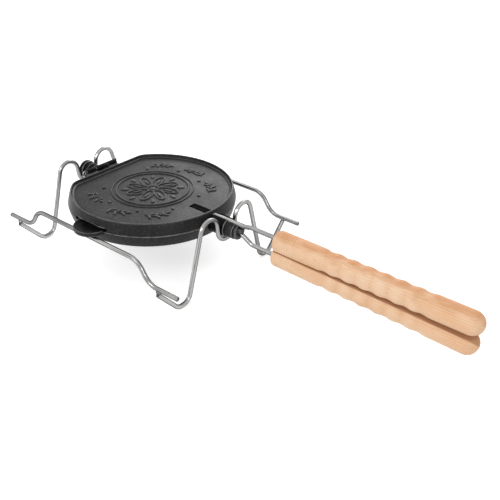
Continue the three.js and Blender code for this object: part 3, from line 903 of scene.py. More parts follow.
@dataclass
class PlateOutline:
    """The plates' shape seen from above: one long arc, a straight hinge side and two rounded corners."""

    radius: float = 100.0
    flat: float = 82.5
    corner_radius: float = 22.0
    arc_steps: int = 150
    corner_steps: int = 14

    def ring(self, inset: float) -> list[Spot]:
        """Give the outline moved in by an inset.

        Args:
            inset: How far it is moved in, in millimetres.

        Returns:
            Its (x, y) places.
        """
        reach = self.radius - self.corner_radius
        turn = math.acos(-(self.flat - self.corner_radius) / reach)
        cx, cy = reach * math.cos(turn), reach * math.sin(turn)
        out: list[Spot] = []
        arcs = (
            (0.0, 0.0, self.radius, -turn, turn, self.arc_steps),
            (cx, cy, self.corner_radius, turn, math.pi, self.corner_steps),
            (cx, -cy, self.corner_radius, math.pi, 2 * math.pi - turn, self.corner_steps),
        )
        for x, y, radius, start, end, steps in arcs:
            for k in range(steps):
                angle = start + (end - start) * k / (steps - 1)
                out.append((x + (radius - inset) * math.cos(angle), y + (radius - inset) * math.sin(angle)))
        return [p for p, q in zip(out, out[-1:] + out[:-1]) if math.dist(p, q) > 1e-6]

    def layers(self, levels: Sequence[tuple[float, float, float]], side: Side = Side.UPPER) -> MeshData:
        """Skin the outline through levels of (inset, height, wear).

        Args:
            levels: The levels, in order along the skin.
            side: LOWER turns the heights upside down.

        Returns:
            The skinned shape, in the row's frame.
        """
        rows = [[at(x, y, z * side.value) for x, y in self.ring(inset)] for inset, z, _ in levels]
        return loft(rows, [wear for *_, wear in levels])


@dataclass
class Casting:
    """What both cast plates share: their wall, rim, recessed face and waffle cavity."""

    finish: bpy.types.Material
    outline: PlateOutline = field(default_factory=PlateOutline)
    cavity_depth: float = 6.5
    stud_pitch: float = 20.0
    stud_base: float = 12.0
    stud_height: float = 4.0
    stud_margin: float = 2.0
    cavity_edge: float = 10.2
    lower_edge_rub_and_highlight: float = 2.0
    levels: tuple[tuple[float, float, float], ...] = (
        (12.0, 6.50, 0.0), (11.1, 6.40, 0.0), (10.45, 6.05, 0.0), (10.05, 5.4, 0.0), (9.1, 0.75, 0.0),
        (8.95, 0.32, 0.2), (8.7, 0.17, 0.2), (0.5, 0.17, 0.1), (0.2, 0.27, 0.5), (0.08, 0.55, 0.4),
        (0.12, 0.95, 0.0), (0.62, 3.5, 0.0), (1.48, 7.0, 0.0), (2.5, 10.5, 0.0), (3.2, 12.6, 0.0), (3.5, 13.35, 0.1),
        (3.85, 13.9, 0.3), (4.3, 14.2, 0.5), (4.75, 14.22, 0.5), (5.1, 13.95, 0.2), (5.32, 13.4, 0.0),
        (5.6, 12.4, 0.0), (5.9, 11.3, 0.0), (6.15, 10.95, 0.0), (6.6, 10.8, 0.1), (7.5, 10.68, 0.3),
        (7.85, 10.5, 0.1), (8.15, 9.95, 0.0), (8.45, 9.55, 0.0), (9.0, 9.5, 0.0), (9.8, 9.78, 0.0), (10.8, 9.8, 0.0),
    )

    def shell(self, side: Side) -> MeshData:
        """Shape the plate's body with its rim and cavity.

        Args:
            side: Which plate it is.

        Returns:
            Its shape.
        """
        # the lower plate's rubbing near the parting plane is multiplied: partly a worn parting edge, partly a painted
        # highlight along it
        rub = self.lower_edge_rub_and_highlight if side is Side.LOWER else 1.0
        levels = [(inset, z, wear * rub if z < 1 else wear) for inset, z, wear in self.levels]
        return self.outline.layers(levels, side)

    def studs(self, side: Side) -> MeshData:
        """Shape the waffle pattern's square studs on the cavity's floor.

        Args:
            side: Which plate they are in.

        Returns:
            All studs as one shape.
        """
        data = MeshData()
        reach = math.ceil(self.outline.radius / self.stud_pitch) + 0.5
        steps = [i * self.stud_pitch for i in frange(-reach, reach)]
        for x in steps:
            for y in steps:
                if self._fits(x, y):
                    data.extend(self._stud(x, y, side))
        return data

    def _fits(self, x: float, y: float) -> bool:
        """Tell whether a stud keeps its margin to the cavity's edge.

        Args:
            x: The stud's place along X.
            y: Its place along Y.

        Returns:
            True when it does.
        """
        reach = self.stud_base / 2 + self.stud_margin
        round_ok = math.hypot(abs(x) + reach, abs(y) + reach) < self.outline.radius - self.cavity_edge
        return round_ok and x - reach > -(self.outline.flat - self.cavity_edge)

    def _stud(self, x: float, y: float, side: Side) -> MeshData:
        """Shape one stud: a drafted square with rounded corners, a small fillet at its root and a soft tip.

        Args:
            x: Its place along X.
            y: Its place along Y.
            side: Which plate it is in.

        Returns:
            Its shape.
        """
        root, tip = self.cavity_depth, self.cavity_depth - self.stud_height
        levels = (
            (7.3, root + 0.3, 1.2), (6.75, root - 0.02, 1.2), (6.15, root - 0.3, 1.1), (5.85, root - 0.7, 1.0),
            (4.45, tip + 0.55, 1.0), (4.2, tip + 0.18, 1.0), (3.8, tip, 0.9),
        )
        rows = []
        for half, z, corner in levels:
            outline = rounded_oblong((x, y), (half, half), corner, 3)
            rows.append([at(px, py, z * side.value) for px, py in outline])
        return loft(rows, [0, 0, 0, 0, 0.1, 0.35, 0.25])


def frange(low: float, high: float) -> list[float]:
    """Give whole steps from low to high, both included."""
    return [low + k for k in range(int(high - low) + 1)]


@dataclass
class UpperPlate:
    """The upper plate: casting, waffle studs, slot for the rod with its pad, and the mouth over the spout with its
    lip; its side knuckles are built with the hinge.
    """

    casting: Casting
    mouth_centre: float = 1.5
    mouth_half_width: float = 26.0
    mouth_height: float = 4.5
    mouth_corner: float = 3.6
    mouth_reach: tuple[float, float] = (-104.0, -82.0)
    scoop_aside: float = 1.0
    scoop_y: float = -103.4
    scoop_z: float = 2.6
    scoop_half: tuple[float, float, float] = (29.0, 6.6, 5.6)
    wall_radius: float = 99.1
    lip_radius: float = 0.5
    lip_inset: float = 3.0
    lip_hollow: float = 6.2
    lip_steps: int = 16
    slot_start: float = 64.0
    slot_end: float = 89.5
    slot_half_width: float = 4.75
    slot_corner: float = 1.5
    slot_floor: float = 5.8
    slot_pad: float = 1.6
    pad_start: float = 59.3
    pad_end: float = 91.0

    def build(self) -> None:
        """Build and dress the upper plate."""
        half, slot = self.slot_half_width + self.slot_pad, self._slot()
        pad = block((self.pad_start, -half, self.slot_floor - self.slot_pad), (self.pad_end, half, 8.6), 1.0)
        for name, data, cutters in (
            ("upper_plate_casting", self.casting.shell(Side.UPPER), [self._mouth(), self._scoop(), slot]),
            ("upper_plate_studs", self.casting.studs(Side.UPPER), []),
            ("mouth_lip", self._lip(), []),
            ("upper_plate_slot_pad", pad, [slot]),
        ):
            place = (Body.UPPER, Slot.CAST)
            dress(name, data, self.casting.finish, place, "upper_plate", cutters=cutters)

    def _lip(self) -> MeshData:
        """Shape the thin bead along the mouth's upper edge, rubbed all along: partly a worn edge, partly a painted
        highlight along it.

        Returns:
            Its shape.
        """
        middle = self.mouth_centre + self.scoop_aside
        rows = []
        for k in range(2 * self.lip_steps + 1):
            share = k / self.lip_steps - 1
            x = self.mouth_centre + share * (self.mouth_half_width - self.lip_inset)
            wall = -math.sqrt(self.wall_radius ** 2 - x * x)
            sunk = math.sqrt(max(0.0, 1 - ((x - middle) / self.scoop_half[0]) ** 2))
            y = max(wall, self.scoop_y + self.lip_hollow * sunk) + 0.15
            z = self.mouth_height + 0.1
            size = self.lip_radius * math.sqrt(max(0.02, 1 - share ** 6))
            rows.append([at(x, y + size * math.cos(a), z + size * math.sin(a)) for a in angles(10)])
        return loft(rows, [1.0] * len(rows))

    def _mouth(self) -> MeshData:
        """Shape the low wide opening over the spout.

        Returns:
            The cutter for it.
        """
        corner, half, top = self.mouth_corner, self.mouth_half_width, self.mouth_height
        shape = [(-half, -1.0), (half, -1.0)]
        for start, cx in ((0, half - corner), (90, -(half - corner))):
            for k in range(7):
                angle = math.radians(start + 15 * k)
                shape.append((cx + corner * math.cos(angle), top - corner + corner * math.sin(angle)))
        return loft([[at(self.mouth_centre + x, y, z) for x, z in shape] for y in self.mouth_reach])

    def _scoop(self) -> MeshData:
        """Shape the shallow hollow in the wall over the mouth.

        Returns:
            The cutter for it.
        """
        centre = Vector((self.mouth_centre + self.scoop_aside, self.scoop_y, self.scoop_z))
        return loft(egg_rows(centre, self.scoop_half, 16, 48))

    def _slot(self) -> MeshData:
        """Shape the slot in the face, with drafted walls and rounded corners.

        Returns:
            The cutter for it.
        """
        centre = ((self.slot_start + self.slot_end) / 2, 0.0)
        half = (self.slot_end - self.slot_start) / 2
        floor = self.slot_floor
        rows = []
        for z, grow in ((floor, -0.35), (floor + 0.5, 0.0), (9.2, 0.1), (9.95, 0.55), (15.0, 0.7)):
            outline = rounded_oblong(centre, (half + grow, self.slot_half_width + grow), self.slot_corner, 4)
            rows.append([at(x, y, z) for x, y in outline])
        return loft(rows)


@dataclass
class FaceOrnament:
    """A plain raised pattern on the upper plate's face: a rosette inside two rings, and leafy sprigs round it."""

    finish: bpy.types.Material
    face_z: float = 9.8
    height: float = 1.35
    width: float = 2.0
    petals: int = 8
    petal_length: float = 26.0
    ring_radius: float = 43.0
    outer_ring_radius: float = 48.5
    sprig_radius: float = 67.0
    sprig_bow: float = 3.2
    sprig_reach: float = 0.36  # radians round the face
    sprig_lean: float = 0.85  # radians between stem and leaf
    sprig_turns_deg: tuple[float, ...] = (42, 82, 122, 238, 278, 318)
    bud_turns_deg: tuple[float, ...] = (22, 62, 102, 142, 218, 258, 298, 338)

    def build(self) -> None:
        """Build and dress the pattern as one piece."""
        data = MeshData()
        data.extend(self._ridge(self._circle(self.ring_radius), closed=True))
        data.extend(self._ridge(self._circle(self.outer_ring_radius), closed=True, scale=0.7))
        for k in range(self.petals):
            turn = 2 * math.pi * (k + 0.5) / self.petals
            data.extend(self._ridge(self._leaf(turn, 6.0, self.petal_length, 7.4), closed=True, scale=0.85))
            data.extend(self._pad(self._leaf(turn, 13.0, 12.5, 1.9)))
            data.extend(self._pad(self._leaf(turn + math.pi / self.petals, 28.5, 9.5, 3.0)))
        data.extend(self._pad([(x * 0.085, y * 0.085) for x, y in self._circle(self.ring_radius)]))
        for turn_deg in self.sprig_turns_deg:
            data.extend(self._sprig(math.radians(turn_deg)))
        for turn_deg in self.bud_turns_deg:
            data.extend(self._pad(self._leaf(math.radians(turn_deg), 56.0, 5.0, 2.4)))
        dress("face_ornament", data, self.finish, (Body.UPPER, Slot.CAST), sharp_deg=50)

    def _circle(self, radius: float) -> list[Spot]:
        """Give a circle's places."""
        return [(radius * math.cos(a), radius * math.sin(a)) for a in angles(120)]

    def _leaf(self, turn: float, start: float, length: float, half_width: float) -> list[Spot]:
        """Give a pointed leaf's outline, lying outward from the middle."""
        return self._leaf_at((start * math.cos(turn), start * math.sin(turn)), turn, length, half_width)

    def _leaf_at(self, root: Spot, way: float, length: float, half_width: float) -> list[Spot]:
        """Give a pointed leaf's outline from its root.

        Args:
            root: The (x, y) place of its root.
            way: The direction that it points in, in radians.
            length: Its length.
            half_width: Half its greatest width.

        Returns:
            The outline's places.
        """
        out = []
        for share in angles(36):
            along = length * (1 - math.cos(share)) / 2
            across = half_width * math.sin(share) * (0.75 + 0.25 * math.cos(share / 2))
            out.append((root[0] + along * math.cos(way) - across * math.sin(way),
                        root[1] + along * math.sin(way) + across * math.cos(way)))
        return out

    def _sprig(self, turn: float) -> MeshData:
        """Shape a sprig between the rings and the rim: a bowed stem with leaf pairs and one leaf at its tip.

        Args:
            turn: Where its middle lies round the face, in radians.

        Returns:
            Its shape.
        """
        stem = []
        for k in range(13):
            share = k / 12
            angle = turn + (share - 0.5) * self.sprig_reach
            radius = self.sprig_radius + self.sprig_bow * math.sin(share * math.pi)
            stem.append((radius * math.cos(angle), radius * math.sin(angle)))
        data = self._ridge(stem, closed=False, scale=0.65)
        for k in (2, 6, 10):
            way = math.atan2(stem[k + 1][1] - stem[k][1], stem[k + 1][0] - stem[k][0])
            for lean in (self.sprig_lean, -self.sprig_lean):
                data.extend(self._pad(self._leaf_at(stem[k], way + lean, 9.0 - 0.15 * k, 2.1)))
        way = math.atan2(stem[-1][1] - stem[-2][1], stem[-1][0] - stem[-2][0])
        return data.extend(self._pad(self._leaf_at(stem[-1], way, 7.0, 1.9)))

    def _pad(self, outline: Sequence[Spot], scale: float = 0.8) -> MeshData:
        """Raise a flat pad with steep sides and a softened edge from the face.

        Args:
            outline: Its (x, y) places.
            scale: Its height as a share of the full ridge's.

        Returns:
            The pad's shape.
        """
        cx = sum(x for x, _ in outline) / len(outline)
        cy = sum(y for _, y in outline) / len(outline)
        rows = []
        for grow, rise in ((1.0, -0.25), (0.97, 0.55), (0.9, 0.88), (0.78, 1.0)):
            top = self.face_z + self.height * scale * rise
            rows.append([at(cx + (x - cx) * grow, cy + (y - cy) * grow, top) for x, y in outline])
        return loft(rows, [0.0, 0.1, 0.25, 0.15])

    def _ridge(self, line: list[Spot], closed: bool, scale: float = 1.0) -> MeshData:
        """Raise a flat-topped ridge along a line on the face.

        Args:
            line: The line's (x, y) places.
            closed: Whether it runs back to its start.
            scale: How wide it is, as a share of the full ridge; its height follows in part.

        Returns:
            The ridge's shape.
        """
        half, top = self.width * scale / 2, self.height * (0.5 + 0.5 * scale)
        left = ((-1.1, -0.25), (-1.0, 0.3), (-0.82, 0.82), (-0.45, 1.0))
        section = left + tuple((-s, h) for s, h in reversed(left))
        count = len(line)
        rows = []
        for k, (x, y) in enumerate(line):
            before = line[(k - 1) % count] if closed or k else line[k]
            after = line[(k + 1) % count] if closed or k < count - 1 else line[k]
            way = math.atan2(after[1] - before[1], after[0] - before[0])
            taper = 1.0 if closed or 0 < k < count - 1 else 0.35
            row = []
            for s, h in section:
                px, py = x - math.sin(way) * s * half * taper, y + math.cos(way) * s * half * taper
                row.append(at(px, py, self.face_z + h * top * taper))
            rows.append(row)
        if closed:
            rows.append(list(rows[0]))
        return loft(rows, [0.15] * len(rows), capped=not closed)


@dataclass
class LowerPlate:
    """The lower plate: casting, spout, and front and rear journals; the hinge's middle knuckle, cast on it too, is
    built with the hinge.
    """

    casting: Casting
    # the darker copy of the cast iron: painted shade on the journals and the boss
    shaded_iron: bpy.types.Material
    spout_centre: Vector = field(default_factory=lambda: Vector((1.5, -95.5, 0.0)))
    spout_radius: float = 21.0
    trough_radius: float = 18.6
    trough_floor: float = -2.0
    journal_radius: float = 11.35
    boss_radius: float = 9.95
    boss_start: float = 119.6
    boss_end: float = 135.6
    neck_start: float = 94.0
    neck_root: float = 100.6
    notch_start: float = 99.6
    bore_radius: float = 2.85
    bore_z: float = -1.6
    cut_through: float = 20.0
    rear_neck: tuple[float, float, float, float] = (-123.0, -81.5, 8.95, 0.3)
    rear_discs: tuple[tuple[float, float, float, float], ...] = (
        (-114.55, -110.1, 10.35, 1.1), (-124.2, -117.25, 11.35, 1.7),
    )

    def build(self) -> None:
        """Build and dress the lower plate and what is cast on it."""
        iron = self.casting.finish
        self._add("lower_plate_casting", self.casting.shell(Side.LOWER), iron, [self._trough()])
        self._add("lower_plate_studs", self.casting.studs(Side.LOWER), iron)
        self._spout()
        self._front_journal()
        self._rear_journal()

    def _add(self, name: str, data: MeshData, finish: bpy.types.Material, cutters: Iterable[MeshData] = ()) -> None:
        """Dress one shape as a piece of the lower plate."""
        dress(name, data, finish, (Body.LOWER, Slot.CAST), "lower_plate", cutters=cutters)

    def _trough(self) -> MeshData:
        """Shape the round hollow that opens the wall to the spout, as a cutter."""
        profile = [(self.trough_floor - 0.5, self.trough_radius, 0), (6.0, self.trough_radius, 0)]
        return turned(profile, Axis.Z, self.spout_centre, 96)

    def _spout(self) -> None:
        """Build and dress the pouring spout."""
        outer, inner, floor = self.spout_radius, self.trough_radius, self.trough_floor
        profile = [
            (-4.0, 0.0, 0), (-4.0, outer - 2.2, 0), (-3.85, outer - 1.2, 0), (-3.4, outer - 0.5, 0.1),
            (-2.8, outer - 0.15, 0.4), (-2.3, outer, 0.1), (-1.6, outer, 0.0), (0.8, outer - 0.1, 0.0),
            (1.35, outer - 0.25, 0.3), (1.65, outer - 0.6, 0.6), (1.65, outer - 1.0, 0.5), (1.4, outer - 1.35, 0.2),
            (1.0, inner + 0.6, 0.0), (0.7, inner - 0.8, 0), (0.35, inner - 2.8, 0), (0.0, inner - 6.0, 0),
            (-0.6, inner - 9.0, 0), (-1.4, inner - 12.0, 0), (floor, inner - 15.0, 0), (floor, 0.0, 0),
        ]
        spout = turned(profile, Axis.Z, self.spout_centre, 112)
        above = self.casting.outline.layers([(-0.3, -0.15, 0), (-0.3, 6.0, 0)])
        cavity = self.casting.outline.layers([(10.2, -6.5, 0), (9.0, 0.0, 0)])
        self._add("pouring_spout", spout, self.casting.finish, [above, cavity])

    def _front_journal(self) -> None:
        """Build and dress the front neck and its boss, notched for the upper rods."""
        bar = rounded_bar(self.neck_start, self.boss_start + 0.4, self.journal_radius, 1.2, 5)
        far, through = 150.0, self.cut_through
        notch = block((self.notch_start, -2.9, 5.7), (far, 2.9, through))
        side_notch = block((self.notch_start, 1.6, 3.1), (far, 7.4, through))
        root = block((80, -through, -0.15), (self.neck_root, through, through))
        self._add("front_neck", turned(bar, Axis.X, Vector(), 80), self.shaded_iron, [root, notch, side_notch])
        start, end, radius = self.boss_start, self.boss_end, self.boss_radius
        profile = [
            (start, 0.0, 0), (start, radius - 0.6, 0.1), (start + 0.2, radius - 0.2, 0.2), (start + 0.6, radius, 0.1),
            (end - 5.2, radius, 0.1), (end - 4.9, radius - 0.2, 0.9), (end - 4.6, radius - 0.6, 0.3),
            (end - 4.2, radius - 0.6, 0.0), (end - 1.0, radius - 0.7, 0.2), (end - 0.4, radius - 1.0, 0.7),
            (end, radius - 1.7, 0.4), (end, 0.0, 0),
        ]
        hole = [(end - 6, self.bore_radius, 0), (end + 9, self.bore_radius, 0)]
        bore = turned(hole, Axis.X, Vector((0, 0, self.bore_z)), 32)
        self._add("front_boss", turned(profile, Axis.X, Vector(), 72), self.shaded_iron, [notch, side_notch, bore])
        tab = block((end - 1, -4.45, 0.55), (end + 5.4, 1.3, 5.45), 0.7)
        self._add("front_boss_tab", tab, self.shaded_iron, [bore])

    def _rear_journal(self) -> None:
        """Build and dress the rear neck with its flange and end drum."""
        data = turned(rounded_bar(*self.rear_neck), Axis.X, Vector(), 72)
        for disc in self.rear_discs:
            data.extend(turned(rounded_bar(*disc, 5), Axis.X, Vector(), 80))
        through = self.cut_through
        root = block((-83.1, -through, -0.15), (-60, through, through))
        self._add("rear_spool", data, self.shaded_iron, [root])


@dataclass
class Hinge:
    """The hinge along the plates' straight side: three knuckles and a split pin."""

    iron: bpy.types.Material
    steel: bpy.types.Material
    x: float = -93.0
    z: float = 11.0
    radius: float = 3.3
    middle: float = 18.0
    side: float = 14.7
    gap: float = 0.3
    pin_radius: float = 1.5
    eye_radius: float = 2.0
    eye_wire_radius: float = 0.7
    tail_diameter: float = 1.3

    def build(self) -> None:
        """Build and dress the knuckles, their lugs and the pin."""
        half = self.middle / 2
        self._knuckle("hinge_knuckle_middle", -half, half, Body.LOWER, "lower_plate",
                      block((self.x - 2.5, -half + 0.4, 3.0), (self.x + 2.5, half - 0.4, self.z), 0.8))
        for name, sign in (("hinge_knuckle_near", -1), ("hinge_knuckle_far", 1)):
            low, high = sorted((sign * (half + self.gap), sign * (half + self.gap + self.side)))
            arm = block((self.x, low + 0.2, self.z - 5.5), (-79.5, high - 0.2, self.z - 1.0), 0.9)
            self._knuckle(name, low, high, Body.UPPER, "upper_plate", arm)
        self._pin(half + self.gap + self.side)

    def _knuckle(self, name: str, low: float, high: float, body: Body, node: str, arm: MeshData) -> None:
        """Build one knuckle with the arm that carries it.

        Args:
            name: The piece's name.
            low: Where it starts along Y.
            high: Where it ends.
            body: The body that it moves with.
            node: The part's node that it belongs to.
            arm: The arm's shape.
        """
        barrel = turned(rounded_bar(low, high, self.radius, 0.55), Axis.Y, Vector((self.x, 0, self.z)), 40)
        dress(name, barrel.extend(arm), self.iron, (body, Slot.CAST), node)

    def _pin(self, reach: float) -> None:
        """Build the split pin: a shank with an eye at the near end and two bent tails at the far end.

        Args:
            reach: How far the knuckles go to each side.
        """
        centre = Vector((self.x, 0, self.z))
        shank = rounded_bar(-reach - 0.4, reach + 1.3, self.pin_radius, 0.3)
        data = turned(shank, Axis.Y, centre, 24)
        eye = []
        middle = Vector((self.x, -reach - self.eye_radius - 0.5, self.z))
        for angle in (*angles(32), 2 * math.pi):
            out = Vector((0, math.cos(angle), math.sin(angle)))
            ring = []
            for a in angles(12):
                skin = out * math.cos(a) + Vector((1, 0, 0)) * math.sin(a)
                ring.append(at(*(middle + out * self.eye_radius + skin * self.eye_wire_radius)))
            eye.append(ring)
        data.extend(loft(eye, capped=False))
        for sign in (1, -1):
            spots = ((reach - 1, 0.5), (reach + 1.1, 0.5), (reach + 1.5, 3.9))
            corners = [Vector((self.x, y, self.z + rise * sign)) for y, rise in spots]
            tail = BentWire(corners, [0.8], Vector((1, 0, 0)), self.tail_diameter, 12, 15, 2, 0.2)
            data.extend(tail.build())
        dress("hinge_split_pin", data, self.steel, (Body.LOWER, Slot.STEEL), "hinge_pin")


# ---- handles ----


@dataclass
class Grip:
    """Half of a turned handle, sawn flat: rings near the rod, finger waves and a domed end."""

    finish: bpy.types.Material
    side: Side
    start: float
    tilt_deg: float
    length: float = 230.4
    radius: float = 12.15
    axis_height: float = 8.5
    seam: float = 0.3
    edge: float = 4.5
    wave_start: float = 65.9
    wave_pitch: float = 17.9
    waves: int = 6
    wave_radius: float = 11.57
    wave_depth: float = 0.58
    ring_start: float = 9.0
    ring_pitch: float = 3.1
    rings: int = 6
    rod_height: float = 10.4
    count: int = 72

    def radius_at(self, x: float) -> float:
        """Give the turned radius at a place along the grip.

        Args:
            x: The place, from the grip's start.

        Returns:
            The radius in millimetres.
        """
        waves_end = self.wave_start + self.waves * self.wave_pitch
        half = self.wave_pitch / 2
        if x < self.edge:
            return self.radius - self.edge + math.sqrt(max(0.0, self.edge ** 2 - (self.edge - x) ** 2))
        if x > self.length - self.radius:
            over = (x - (self.length - self.radius)) / self.radius
            return self.radius * math.sqrt(max(0.0, 1 - over * over))
        if self.wave_start - half < x < waves_end + half:
            return self.wave_radius - self.wave_depth * math.cos(2 * math.pi * (x - self.wave_start) / self.wave_pitch)
        rings_end = self.ring_start + self.rings * self.ring_pitch
        if self.ring_start < x < rings_end:
            share = ((x - self.ring_start) / self.ring_pitch) % 1
            return self.radius - 0.3 * math.exp(-(((share - 0.5) / 0.14) ** 2))
        return self.radius

    def _stations(self) -> list[float]:
        """Lay out the places along the grip that its skin goes through.

        Returns:
            The places, from the grip's start.
        """
        out = [self.edge * (1 - math.cos(math.pi / 2 * k / 8)) for k in range(8)]
        x = self.edge
        rings_end = self.ring_start + self.rings * self.ring_pitch
        while x < self.length - self.radius:
            out.append(x)
            x += 0.28 if self.ring_start - 0.5 < x < rings_end + 0.5 else 1.5
        out += [self.length - self.radius * (1 - math.sin(math.pi / 2 * k / 14)) for k in range(14)]
        return out

    def _row(self, x: float, radius: float) -> Row:
        """Give one ring of the grip's skin, round above and flat below.

        Args:
            x: Its place along the grip.
            radius: Its radius.

        Returns:
            The ring.
        """
        row = []
        tilt = math.radians(self.tilt_deg)
        for angle in angles(self.count):
            y = radius * math.sin(angle)
            z = self.axis_height + radius * math.cos(angle)
            z = (z + math.sqrt(z * z + 0.12)) / 2
            up = self.side.value * (z + self.seam)
            along = self.start + x * math.cos(tilt) + up * math.sin(tilt)
            row.append(at(along, y, up * math.cos(tilt) - x * math.sin(tilt)))
        return row

    def build(self) -> None:
        """Build and dress the grip, with the hole that its rod goes into."""
        rows, wears = [], []
        for x in self._stations():
            radius = self.radius_at(x)
            rows.append(self._row(x, max(radius, 0.3)))
            wears.append(self._burnish_and_painted_light(x))
        skin = loft(rows, wears)
        flat = [math.cos(angle) < -self.axis_height / self.radius for angle in angles(self.count)]
        # the flat faces get -1, the full sawn brown: painted shade, as they face each other in the gap between the
        # grips
        skin.wear = [-1.0 if flat[i % self.count] else wear for i, wear in enumerate(skin.wear)]
        hole_z = self.side.value * (self.rod_height + self.seam)
        hole = turned([(self.start - 4, 3.1, 0), (self.start + 5, 2.75, 0)], Axis.X, Vector((0, 0, hole_z)), 32)
        place = (Body.UPPER if self.side is Side.UPPER else Body.LOWER, Slot.WOOD)
        node = f"{self.side.name.lower()}_grip"
        dress(f"{node}_wood", skin, self.finish, place, node, cutters=[hole], sharp_deg=60)

    def _burnish_and_painted_light(self, x: float) -> float:
        """Tell how much a place is lightened, as burnish in the turned rings and as painted highlight on the waves'
        crests, or darkened as painted shade in the waves' hollows.

        Args:
            x: The place, from the grip's start.

        Returns:
            The wear there, below 0 where it is darker.
        """
        rings_end = self.ring_start + self.rings * self.ring_pitch
        if self.ring_start < x < rings_end:
            share = ((x - self.ring_start) / self.ring_pitch) % 1
            return math.exp(-(((share - 0.5) / 0.2) ** 2))
        if self.wave_start < x < self.wave_start + self.waves * self.wave_pitch:
            # painted light on the finger waves: a highlight on each crest and shade in each hollow
            return 0.35 - 0.45 * math.cos(2 * math.pi * (x - self.wave_start) / self.wave_pitch)
        return 0.0


@dataclass
class Handles:
    """The rods and grips of both plates."""

    steel: bpy.types.Material
    dark_steel: bpy.types.Material
    beech: bpy.types.Material
    rod_diameter: float = 5.0
    rod_bend: float = 9.0
    upper_root: Spot = (91.6, 8.6)
    lower_root: Spot = (107.0, -1.6)
    upper_kink: Spot = (140.0, 12.0)
    lower_kink: Spot = (138.5, 14.0)
    stub: tuple[tuple[float, float, float], ...] = ((94.2, 4.5, 6.0), (141.0, 4.5, 6.0))
    dark_root: tuple[tuple[float, float, float, float], ...] = (
        (66.0, 1.5, 6.2, 8.4), (66.6, 2.1, 6.1, 9.3), (70.0, 2.2, 6.1, 9.9), (86.0, 2.35, 6.1, 10.6),
        (92.4, 2.4, 6.2, 10.9),
    )
    upper_start: float = 186.1
    lower_start: float = 185.3
    upper_tilt: float = 0.68
    lower_tilt: float = 1.85
    seam: float = 0.3
    rod_height: float = 10.4

    def build(self) -> None:
        """Build and dress the rods and the grips."""
        upper = self._rod(Side.UPPER, self.upper_root, self.upper_kink)
        on_upper, on_lower = (Body.UPPER, Slot.STEEL), (Body.LOWER, Slot.STEEL)
        dress("upper_rod_bent", upper, self.steel, on_upper, "upper_rod")
        lower = self._rod(Side.LOWER, self.lower_root, self.lower_kink)
        dress("lower_rod_bent", lower, self.steel, on_lower, "lower_rod")
        stub = BentWire([Vector(place) for place in self.stub], [], Vector((0, 1, 0)), self.rod_diameter).build()
        dress("upper_rod_side_stub", stub, self.steel, on_upper, "upper_rod_stub")
        dress("upper_rod_root", self._rod_root(), self.dark_steel, on_upper, "upper_rod")
        Grip(self.beech, Side.UPPER, self.upper_start, self.upper_tilt).build()
        Grip(self.beech, Side.LOWER, self.lower_start, self.lower_tilt).build()

    def _rod(self, side: Side, root: Spot, kink: Spot) -> MeshData:
        """Shape a rod: level from its root, a kink, then along its grip's axis.

        Args:
            side: Which plate it belongs to.
            root: Its root's place along X and its height.
            kink: The kink's place along X and its length.

        Returns:
            Its shape.
        """
        start = self.upper_start if side is Side.UPPER else self.lower_start
        tilt = math.radians(self.upper_tilt if side is Side.UPPER else self.lower_tilt)
        height = side.value * (self.seam + self.rod_height)
        seat = [Vector((x, 0, height - math.tan(tilt) * (x - start))) for x in (kink[0] + kink[1], start + 30)]
        corners = [Vector((root[0], 0, root[1])), Vector((kink[0], 0, root[1])), *seat]
        return BentWire(corners, [self.rod_bend] * 2, Vector((0, 1, 0)), self.rod_diameter).build()

    def _rod_root(self) -> MeshData:
        """Shape the upper rod's flattened, darkened root in its slot.

        Returns:
            Its shape.
        """
        def squared(value: float) -> float:
            """Push a sine or cosine outward, which makes a circle squarer."""
            return math.copysign(abs(value) ** 0.6, value)

        rows = []
        for x, half, low, top in self.dark_root:
            middle, rise = (low + top) / 2, (top - low) / 2
            ring = [(half * squared(math.cos(a)), middle + rise * squared(math.sin(a))) for a in angles(24)]
            rows.append([at(x, y, z) for y, z in ring])
        return loft(rows, [0.3, 0.3, 0, 0, 0])


# ---- stand ----


